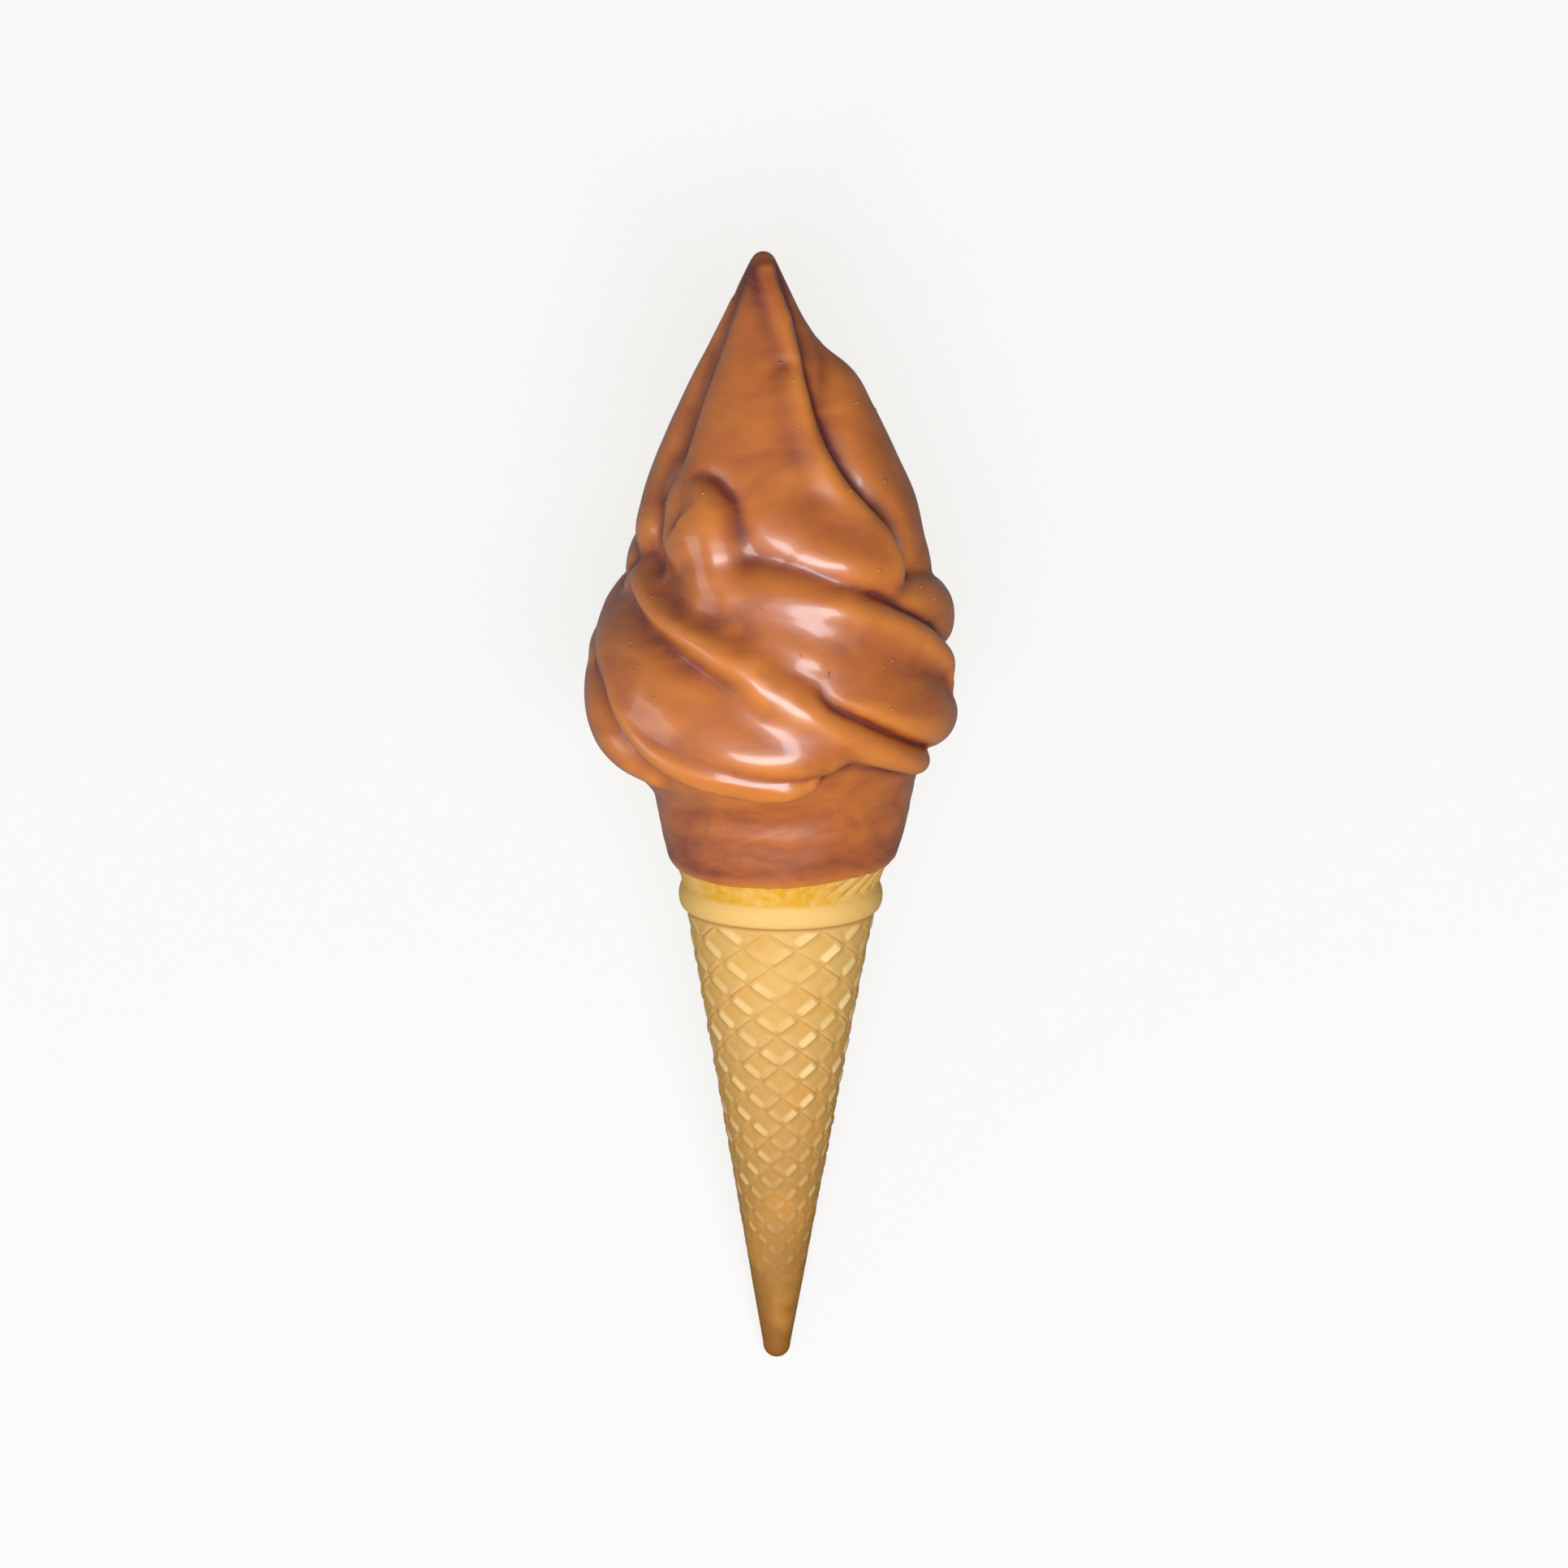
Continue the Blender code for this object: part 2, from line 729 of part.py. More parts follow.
def lattice_crests(angle, height):
    """1 on the crests between the lozenges, 0 on their floors, with what the fade leaves of the pattern."""
    root = FIRST_PITCH**2 - 4 * PITCH_LOSS * (LATTICE_TOP - height)
    row = (FIRST_PITCH - np.sqrt(np.maximum(root, 0.01))) / (2 * PITCH_LOSS)
    turn = (angle - LATTICE_TURN - ROW_TURN * row) * LOZENGES_ROUND / 360
    one, other = (row + turn) % 1, (row - turn) % 1

    def wall(share, along):
        slant = np.clip(1 - (1 - share) / RAMP_SHARE, 0, 1)
        steep = np.clip(1 - share / STEP_SHARE, 0, 1)
        worn_ends = 0.4 + 0.6 * np.clip(3 * np.sin(np.pi * along), 0, 1)
        return np.maximum(slant, steep) * worn_ends

    fade = 1 - np.clip((row - FADE_START) / (FADE_END - FADE_START), 0, 1)
    in_pattern = (height < LATTICE_TOP) * fade
    return np.maximum(wall(one, other), wall(other, one)), in_pattern


def wafer_cone(collection):
    """A moulded wafer: a turned shape with a lattice of lozenges pressed into its stem."""
    heights = np.append(np.arange(COLLAR_TOP, TIP_RADIUS, -PROFILE_STEP), (1.6, 0.8, 0.3))
    profile = [(0, COLLAR_TOP)]
    profile += [(wafer_radius(height), height) for height in heights]
    profile.append((0, 0))
    obj = turned("wafer_cone", profile, WAFER_STEPS, collection)
    points = get_points(obj.data)
    out = np.hypot(points[:, 0], points[:, 1])
    angle = np.degrees(np.arctan2(points[:, 0], -points[:, 1]))
    crest, in_pattern = lattice_crests(angle, points[:, 2])
    sink = LATTICE_DEPTH * in_pattern * (1 - crest)
    scale = 1 - np.minimum(sink, out) / np.maximum(out, 1e-6)
    points[:, :2] *= scale[:, None]
    set_points(obj.data, points)
    decimate(obj, WAFER_TRIANGLES)
    obj.data.materials.append(material("baked_wafer", (0.72, 0.47, 0.13), 0.75))
    return obj


def cut(obj, cutter):
    boolean = obj.modifiers.new(cutter.name, "BOOLEAN")
    boolean.operation = "DIFFERENCE"
    boolean.solver = "EXACT"
    boolean.object = cutter


def helper(obj):
    obj.hide_render = True
    obj.display_type = "WIRE"


def cup_cutter(collection):
    """The collar of the wafer with its clearance, for the hollow that the swirl sits in."""
    heights = np.arange(COLLAR_TOP, RING_HEIGHT, -PROFILE_STEP)
    profile = [(0, COLLAR_TOP + GAP), (COLLAR_TOP_RADIUS + GAP, COLLAR_TOP + GAP)]
    profile += [(wafer_radius(height) + GAP, height) for height in heights]
    profile.append((0, RING_HEIGHT))
    obj = turned("cup_cutter", profile, 96, collection)
    helper(obj)
    return obj


def ground_cutter(collection):
    """Everything under the ground."""
    mesh = bpy.data.meshes.new("ground_cutter")
    maker = bmesh.new()
    bmesh.ops.create_cube(maker, size=1)
    bmesh.ops.scale(maker, vec=(0.4, 0.6, 0.1), verts=maker.verts)
    bmesh.ops.translate(maker, vec=(0, 0.12, -0.05), verts=maker.verts)
    maker.to_mesh(mesh)
    maker.free()
    obj = new_object("ground_cutter", mesh, collection)
    helper(obj)
    return obj


def evaluated_box(objects):
    bpy.context.view_layer.update()
    graph = bpy.context.evaluated_depsgraph_get()
    corners = []
    for obj in objects:
        shown = obj.evaluated_get(graph)
        mesh = shown.to_mesh()
        matrix = np.array(shown.matrix_world)
        corners.append(get_points(mesh) @ matrix[:3, :3].T + matrix[:3, 3])
        shown.to_mesh_clear()
    points = np.concatenate(corners)
    return points.min(axis=0), points.max(axis=0)


def main():
    for obj in list(bpy.data.objects):
        bpy.data.objects.remove(obj)
    scene = bpy.context.scene.collection
    parts = bpy.data.collections.new("dipped_ice_cream_cone")
    cutters = bpy.data.collections.new("cutters")
    scene.children.link(parts)
    scene.children.link(cutters)

    lying = new_object("lying_axis", None, parts)
    slope = math.radians(LYING_ANGLE)
    lying.rotation_euler = (slope - math.pi / 2, 0, 0)
    lying.scale = (MM, MM, MM)
    lying.location.z = (TIP_RADIUS * (1 - math.sin(slope)) - TIP_FLAT) * MM

    wafer = wafer_cone(parts)
    swirl = dipped_swirl(parts)
    cup = cup_cutter(cutters)
    for obj in (wafer, swirl, cup):
        obj.parent = lying
    ground = ground_cutter(cutters)
    cut(swirl, cup)
    cut(swirl, ground)
    cut(wafer, ground)

    low, high = evaluated_box((wafer, swirl))
    lying.location.x -= (low[0] + high[0]) / 2
    lying.location.y -= (low[1] + high[1]) / 2
    for obj in (wafer, swirl):
        obj.data.shade_smooth()


main()
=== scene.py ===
"""Looks of a chocolate-dipped soft-serve ice cream in a moulded wafer cone, lying on its back.

The pieces are made upright and in millimetres, as in the part: the wafer's tip at the origin, the cone's
axis along +Z and the shown side toward -Y. Then they are laid down into the frame. Angles round the axis
are 0 at the shown side and grow to the right.
"""

import math

import bmesh
import bpy
import numpy as np
from mathutils import Matrix, Vector


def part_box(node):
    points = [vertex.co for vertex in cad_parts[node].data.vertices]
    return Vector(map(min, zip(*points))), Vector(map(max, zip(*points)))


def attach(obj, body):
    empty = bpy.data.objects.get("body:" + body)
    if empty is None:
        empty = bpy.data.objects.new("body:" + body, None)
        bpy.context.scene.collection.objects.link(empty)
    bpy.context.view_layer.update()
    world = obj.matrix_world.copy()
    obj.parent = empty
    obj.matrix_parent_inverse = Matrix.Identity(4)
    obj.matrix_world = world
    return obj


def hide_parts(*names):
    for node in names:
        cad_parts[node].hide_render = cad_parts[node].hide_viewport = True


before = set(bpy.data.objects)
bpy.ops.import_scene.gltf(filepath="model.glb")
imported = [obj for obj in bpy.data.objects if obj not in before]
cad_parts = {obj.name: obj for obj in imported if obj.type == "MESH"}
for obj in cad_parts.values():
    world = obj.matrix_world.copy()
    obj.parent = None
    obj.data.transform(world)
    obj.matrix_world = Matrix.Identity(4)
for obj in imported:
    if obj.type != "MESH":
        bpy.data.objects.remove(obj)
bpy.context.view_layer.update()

MM = 0.001

# The whole cone, as in the part
LYING_ANGLE = math.radians(14)
TIP_FLAT = 0.15

# Wafer
TIP_RADIUS = 2.8
STEM_TAPER = 0.181
STEM_TOP = 96.4
RING_HEIGHT = 100.5
RING_RADIUS = 21.4
RING_HALF_HEIGHT = 3.3
RING_FOOT = RING_HEIGHT - RING_HALF_HEIGHT
RING_BULGE = 1.9
UNDERCUT = 0.45
UNDERCUT_WIDTH = 0.5
COLLAR_FOOT = 104.2
COLLAR_FOOT_RADIUS = 20.9
COLLAR_TOP = 110.4
COLLAR_TOP_RADIUS = 23.3
FLUTES_ROUND = 28.0
FLUTES_MIDDLE = math.radians(115)  # angle round which the collar's flutes show
POROUS_MIDDLE = math.radians(-8)  # angle round which its porous band shows most

# Steps of the wafer's mesh
WAFER_STEPS = 312  # round the axis
RING_STEP_HEIGHT = 0.4  # on the ring and the collar
LATTICE_STEP_HEIGHT = 0.35
PLAIN_STEP_HEIGHT = 0.8  # below the lattice
LATTICE_END = 12.0
TIP_STEPS = 9
TIP_BOW = (math.radians(78), 0.1)  # angles of the first and the last step on the round tip

# Pattern of the baking mould: a lattice on the stem and flutes on the collar
WAFER_SIZES = {
    "Lozenges round": 10.0,
    "Lattice top": 96.9,  # height of the first row of crossings
    "First pitch": 8.3,  # from the first row to the second, about
    "Pitch loss": 0.165,  # half of how much closer each row is than the one above
    "Lattice turn": -8.9,  # angle of the crossing nearest the front in the first row
    "Row turn": 2.35,  # degrees from each row to the next
    "Lattice depth": 0.45,
    "Slanted share": 0.32,  # the slanted face of a bar, as a share of a lozenge
    "Steep share": 0.2,  # and its steep face
    "Fade start": 5.0,  # rows down from the first
    "Fade end": 13.0,
    "Pillow": 0.12,  # how far the middle of a lozenge swells
    "Flutes round": FLUTES_ROUND,
    "Flute slant": -4.0,  # degrees for each mm of height
    "Flute depth": 0.7,
    "Seed": 3.0,
}

# Relief of the poured coat, and the air bubbles in it
COAT_SIZES = {
    "Unevenness": 0.5,
    "Unevenness size": 11.0,
    "Wrinkle depth": 0.8,
    "Wrinkle spacing": 4.6,
    "Wrinkle length": 13.0,
    "Neck top": 131.0,  # height where the wrinkles begin
    "Neck blend": 6.0,  # and over which they come in, downward
}
BUBBLE_SIZES = {
    "Bubbles per square mm": 0.0035,
    "Smallest radius": 0.18,
    "Largest radius": 0.5,
    "Flatness": 0.45,
    "Seed": 7,
}

# Dipped swirl
DIP_HEIGHT = 107.2
DIP_ROUNDING = 0.8
SCALLOP_TURN = 62.0
SCALLOP_WIDTH = 26.0
SCALLOP_DEPTH = 0.3
PEAK_HEIGHT = 236.2
PEAK_RADIUS = 2.6
PEAK_SHIFT = -4.8
REAR_START = 94  # angle at which the turns of the hidden side start
REAR_SWEEP = 176  # and how far round they go

# Steps and limits in working out the swirl's form
TABLE_STEP = 0.25
FOLD_SAMPLES = 160
FOLD_REACH = 4.0  # how far past its widest half width a fold counts
LEAST_HALF_WIDTH = 0.3
FAR = 9.0  # the distance from a fold that is out of reach
AT_ONCE = 20000  # points looked up together
EGG_MARGIN = 3.0  # how far the first egg stands off the body
EGG_ENDS = 60.0  # how fast its ends widen
COAT_STAGES = ((2.0, 6), (1.4, 4), (1.0, 4), (0.66, 4))  # voxel size and passes
LONGEST_SLIDE = 1.5
SLIDE_SHARE = 0.9  # of the way to the surface, in one pass

# Tone of the coat from thin to thick, darker where it is thicker, with painted shade in its hollows and at
# the peak
EVEN_TONE = 0.45
HOLLOW_STEPS = 60  # smoothing passes, which even out hollows up to about 7 mm wide
HOLLOW_SHADE = 1.2  # how much darker the coat gets for each mm of hollow: thicker coat and painted shade
PEAK_SHADE = 0.75  # how much darker it gets at the peak: painted shade and a thicker coat
PEAK_LENGTH = 20.0  # from the peak down to where that starts
RIM_TONE = 0.55  # and at its lower rim
RIM_WIDTH = 14.0


# ------------------------------ nodes and meshes


def linear(colour):
    """An sRGB hex colour as linear RGBA."""
    parts = [int(colour[i : i + 2], 16) / 255 for i in (1, 3, 5)]
    return (*[c / 12.92 if c < 0.04045 else ((c + 0.055) / 1.055) ** 2.4 for c in parts], 1)


def add(tree, kind, inputs=(), output=0, **settings):
    """Adds a node with its settings and its inputs, which are values or sockets by place or by name.

    It gives the output asked for, or the node where that is None.
    """
    node = tree.nodes.new(kind)
    for name, value in settings.items():
        setattr(node, name, value)
    named = inputs.items() if isinstance(inputs, dict) else enumerate(inputs)
    for name, value in named:
        if isinstance(value, bpy.types.NodeSocket):
            tree.links.new(value, node.inputs[name])
        else:
            node.inputs[name].default_value = value
    return node if output is None else node.outputs[output]


def get_points(mesh):
    flat = np.empty(len(mesh.vertices) * 3, np.float32)
    mesh.vertices.foreach_get("co", flat)
    return flat.reshape(-1, 3).astype(float)


def set_points(mesh, points):
    mesh.vertices.foreach_set("co", points.astype(np.float32).ravel())
    mesh.update()


def get_normals(mesh):
    flat = np.empty(len(mesh.vertices) * 3, np.float32)
    mesh.vertex_normals.foreach_get("vector", flat)
    return flat.reshape(-1, 3)


def end_mesh(maker, name):
    """The mesh that a bmesh has made."""
    mesh = bpy.data.meshes.new(name)
    maker.to_mesh(mesh)
    maker.free()
    return mesh


def new_object(name, data):
    obj = bpy.data.objects.new(name, data)
    bpy.context.scene.collection.objects.link(obj)
    return obj


def keep_result(obj):
    """Makes the result of the object's modifiers its mesh."""
    graph = bpy.context.evaluated_depsgraph_get()
    result = bpy.data.meshes.new_from_object(obj.evaluated_get(graph))
    obj.modifiers.clear()
    obj.data = result


def grow(obj, tree, sizes, finish):
    """Runs a geometry node tree on the object, with values for its named inputs."""
    values = {**sizes, "Material": finish}
    modifier = obj.modifiers.new(tree.name, "NODES")
    modifier.node_group = tree
    for socket in tree.interface.items_tree:
        if socket.name in values:
            modifier[socket.identifier] = values[socket.name]
    keep_result(obj)


def new_tree(name, sizes):
    """A geometry node tree with an input for each of the named sizes and one for the material."""
    tree = bpy.data.node_groups.new(name, "GeometryNodeTree")
    tree.interface.new_socket("Geometry", in_out="OUTPUT", socket_type="NodeSocketGeometry")
    kinds = {label: "Int" if isinstance(size, int) else "Float" for label, size in sizes.items()}
    for label, kind in {"Geometry": "Geometry", **kinds, "Material": "Material"}.items():
        tree.interface.new_socket(label, in_out="INPUT", socket_type="NodeSocket" + kind)
    return tree, tree.nodes.new("NodeGroupInput").outputs


def end_tree(tree, geometry, material):
    """Ends a tree with real geometry and its material."""
    whole = add(tree, "GeometryNodeRealizeInstances", (geometry,))
    painted = add(tree, "GeometryNodeSetMaterial", {"Geometry": whole, "Material": material})
    add(tree, "NodeGroupOutput", (painted,), output=None)


# ------------------------------ the form of the swirl


def through_stations(knots, values, at):
    """A smooth curve through the values, one row for each knot."""
    slope = np.gradient(values, knots, axis=0)
    i = np.clip(np.searchsorted(knots, at, side="right") - 1, 0, len(knots) - 2)
    gap = (knots[i + 1] - knots[i])[:, None]
    t = (at - knots[i])[:, None] / gap
    rise = 3 * t**2 - 2 * t**3
    leave = (t**3 - 2 * t**2 + t) * gap * slope[i]
    arrive = (t**3 - t**2) * gap * slope[i + 1]
    return (1 - rise) * values[i] + rise * values[i + 1] + leave + arrive


# The body that the folds lie on: height, radius, and shift to the right
BODY = np.array(
    (
        (100, 20.8, 0),
        (106, 22.8, 0),
        (112, 24.7, 0.2),
        (118, 26.2, 0.4),
        (123, 27.2, 0.2),
        (129, 30.6, -1.6),
        (137, 34.6, -2.2),
        (147, 36, -2.6),
        (157, 35, -2.4),
        (166, 31.6, -1.6),
        (176, 28.2, -1.4),
        (188, 25, -1.4),
        (202, 19.6, -2.2),
        (214, 13.8, -3.2),
        (224, 8.4, -4.4),
        (231, 5.4, -4.8),
        (239, 1.6, -4.8),
    ),
    float,
)
BODY_HEIGHTS = np.arange(BODY[0, 0] - 6, BODY[-1, 0] + 6, TABLE_STEP)
BODY_RADII, BODY_SHIFTS = through_stations(
    BODY[:, 0], BODY[:, 1:], np.clip(BODY_HEIGHTS, BODY[0, 0], BODY[-1, 0])
).T
BODY_SLOPES = np.gradient(BODY_RADII, BODY_HEIGHTS)


def body_at(height):
    """The body's radius, its shift to the right, and how fast the radius grows."""
    return (
        np.interp(height, BODY_HEIGHTS, BODY_RADII),
        np.interp(height, BODY_HEIGHTS, BODY_SHIFTS),
        np.interp(height, BODY_HEIGHTS, BODY_SLOPES),
    )


# The edge of the coat round the collar: angle and height
DIP_EDGE = np.array(
    (
        (-180, 107.9),
        (-130, 107.6),
        (-90, 107.1),
        (-55, 106.8),
        (-20, 106.7),
        (0, 106.9),
        (20, 107.4),
        (50, 108.2),
        (90, 108.3),
        (130, 108.1),
        (180, 107.9),
    ),
    float,
)


def dip_edge(points):
    """The height at which the coat ends round the collar, scalloped where it ran down the flutes."""
    angle = np.degrees(np.arctan2(points[:, 0], -points[:, 1]))
    height = through_stations(DIP_EDGE[:, 0], DIP_EDGE[:, 1:], angle)[:, 0]
    scallop = np.exp(-(((angle - SCALLOP_TURN) / SCALLOP_WIDTH) ** 2)) * SCALLOP_DEPTH
    return height + scallop * np.cos(np.radians(angle) * FLUTES_ROUND)


def body_point(angle, height):
    """The point of the body at an angle, in radians, and a height."""
    radius, shift, _ = body_at(height)
    return np.stack(
        [shift + radius * np.sin(angle), -radius * np.cos(angle), height], axis=1
    )


def over_body(points):
    """How far each point lies outside the body, and the point of the body under it."""
    height = points[:, 2]
    for _ in range(2):
        radius, shift, slope = body_at(height)
        out = np.hypot(points[:, 0] - shift, points[:, 1])
        stretch = np.sqrt(1 + slope**2)
        over = (out - radius - slope * (points[:, 2] - height)) / stretch
        height = points[:, 2] + over * slope / stretch
    radius, shift, _ = body_at(height)
    scale = radius / np.maximum(np.hypot(points[:, 0] - shift, points[:, 1]), 1e-6)
    foot = np.stack(
        [shift + (points[:, 0] - shift) * scale, points[:, 1] * scale, height], axis=1
    )
    peak = np.linalg.norm(points - (PEAK_SHIFT, 0, PEAK_HEIGHT), axis=1) - PEAK_RADIUS
    over = np.where(points[:, 2] > PEAK_HEIGHT + 1, np.maximum(peak, over), over)
    return over, foot


def spread(values):
    """The values laid out evenly along a fold."""
    share = np.linspace(0, 1, FOLD_SAMPLES)
    return np.interp(share, np.linspace(0, 1, len(values)), values)


class Fold:
    """A long soft fold on the body, or a groove in it.

    Each station gives an angle, a height, how far the fold stands proud of the body (or how deep the groove
    is) and its half width. A section's power is 2 for an ellipse and more for a squarer one, and its lean
    tips it toward one edge. Its blend rounds the valley beside it, with values spread from its start to its
    end, and upper_blend does so on the left of its way, the upper side of a fold that runs to the right.
    """

    def __init__(
        self, *stations, thickness=5.0, blend=(1.0, 1.0), upper_blend=None, lean=0.0, power=2.0
    ):
        stations = np.array(stations, float)
        stations[:, 0] = np.radians(stations[:, 0])
        steps = np.diff(body_point(stations[:, 0], stations[:, 1]), axis=0)
        knots = np.append(0, np.cumsum(np.linalg.norm(steps, axis=1)))
        at = np.linspace(0, knots[-1], FOLD_SAMPLES)
        angle, height, proud, half_width = through_stations(knots, stations, at).T
        self.middle = body_point(angle, height)
        slope = body_at(height)[2]
        outward = np.stack([np.sin(angle), -np.cos(angle), -slope], axis=1)
        along = np.gradient(self.middle, axis=0)
        along /= np.linalg.norm(along, axis=1)[:, None]
        lower = spread(blend)
        upper = spread(upper_blend or blend)
        half_width = np.maximum(half_width, LEAST_HALF_WIDTH)
        self.rows = np.column_stack(
            [self.middle, along, np.cross(along, outward), proud, half_width, lower, upper]
        )
        self.thickness = thickness
        self.lean = math.radians(lean)
        self.power = power
        reach = half_width.max() + FOLD_REACH
        self.low = self.middle.min(axis=0) - reach
        self.high = self.middle.max(axis=0) + reach

    def near_points(self, foot):
        """Which points are near the fold, how far across and past its end each is, and its sizes there."""
        near = np.flatnonzero(((foot > self.low) & (foot < self.high)).all(axis=1))
        sample = np.empty(len(near), int)
        size = (self.middle**2).sum(axis=1)
        for start in range(0, len(near), AT_ONCE):
            some = slice(start, start + AT_ONCE)
            sample[some] = np.argmin(size - 2 * foot[near[some]] @ self.middle.T, axis=1)
        sample = np.clip(sample, 1, FOLD_SAMPLES - 2)
        before, at, after = (
            ((foot[near] - self.middle[sample + i]) ** 2).sum(axis=1) for i in (-1, 0, 1)
        )
        place = sample + np.clip(0.5 * (before - after) / (before - 2 * at + after), -1, 1)
        first = np.minimum(place.astype(int), FOLD_SAMPLES - 2)
        share = (place - first)[:, None]
        row = self.rows[first] * (1 - share) + self.rows[first + 1] * share
        away = foot[near] - row[:, :3]
        ahead = (away * row[:, 3:6]).sum(axis=1)
        sideways = away - ahead[:, None] * row[:, 3:6]
        across = np.linalg.norm(sideways, axis=1) * np.sign((away * row[:, 6:9]).sum(axis=1))
        past = np.where((place <= 0) | (place >= FOLD_SAMPLES - 1), ahead, 0)
        return near, across, past, *row[:, 9:].T

    def distance(self, over, foot):
        """About how far each point lies outside the fold, and the blend there."""
        distance = np.full(len(foot), FAR)
        blend = np.ones(len(foot))
        near, across, past, proud, width, lower, upper = self.near_points(foot)
        rise = over[near] - (proud - self.thickness)
        tip, turn = math.cos(self.lean), math.sin(self.lean)
        x = np.abs(across * tip + rise * turn) / width
        y = np.abs(rise * tip - across * turn) / self.thickness
        z = np.abs(past) / width
        power = self.power
        size = np.maximum((x**power + y**power + z**power) ** (1 / power), 0.05)
        pull = (x ** (power - 1) / width) ** 2 + (z ** (power - 1) / width) ** 2
        pull += (y ** (power - 1) / self.thickness) ** 2
        pull = np.sqrt(pull) / size ** (power - 1)
        distance[near] = (size - 1) / np.maximum(pull, 1e-3)
        below = np.clip(0.5 + 0.5 * across / width, 0, 1)
        blend[near] = upper + below * (lower - upper)
        return distance, blend

    def depth(self, foot):
        """How much the groove takes away at each point."""
        taken = np.zeros(len(foot))
        near, across, past, deepest, width, _, _ = self.near_points(foot)
        taken[near] = deepest * np.exp(-(across**2 + past**2) / width**2)
        return taken


def rear_turn(right_height, left_height, proud, half_width):
    """A turn of the swirl round the hidden side, where each turn sinks toward the left."""
    stations = []
    for share in np.linspace(0, 1, 6):
        bow = math.sin(math.pi * (0.1 + 0.8 * share))
        angle = REAR_START + REAR_SWEEP * share
        height = right_height + (left_height - right_height) * share
        stations.append((angle, height, proud * bow**0.6, half_width * (0.75 + 0.25 * bow)))
    return Fold(*stations, thickness=7.5, blend=(0.9, 0.9))


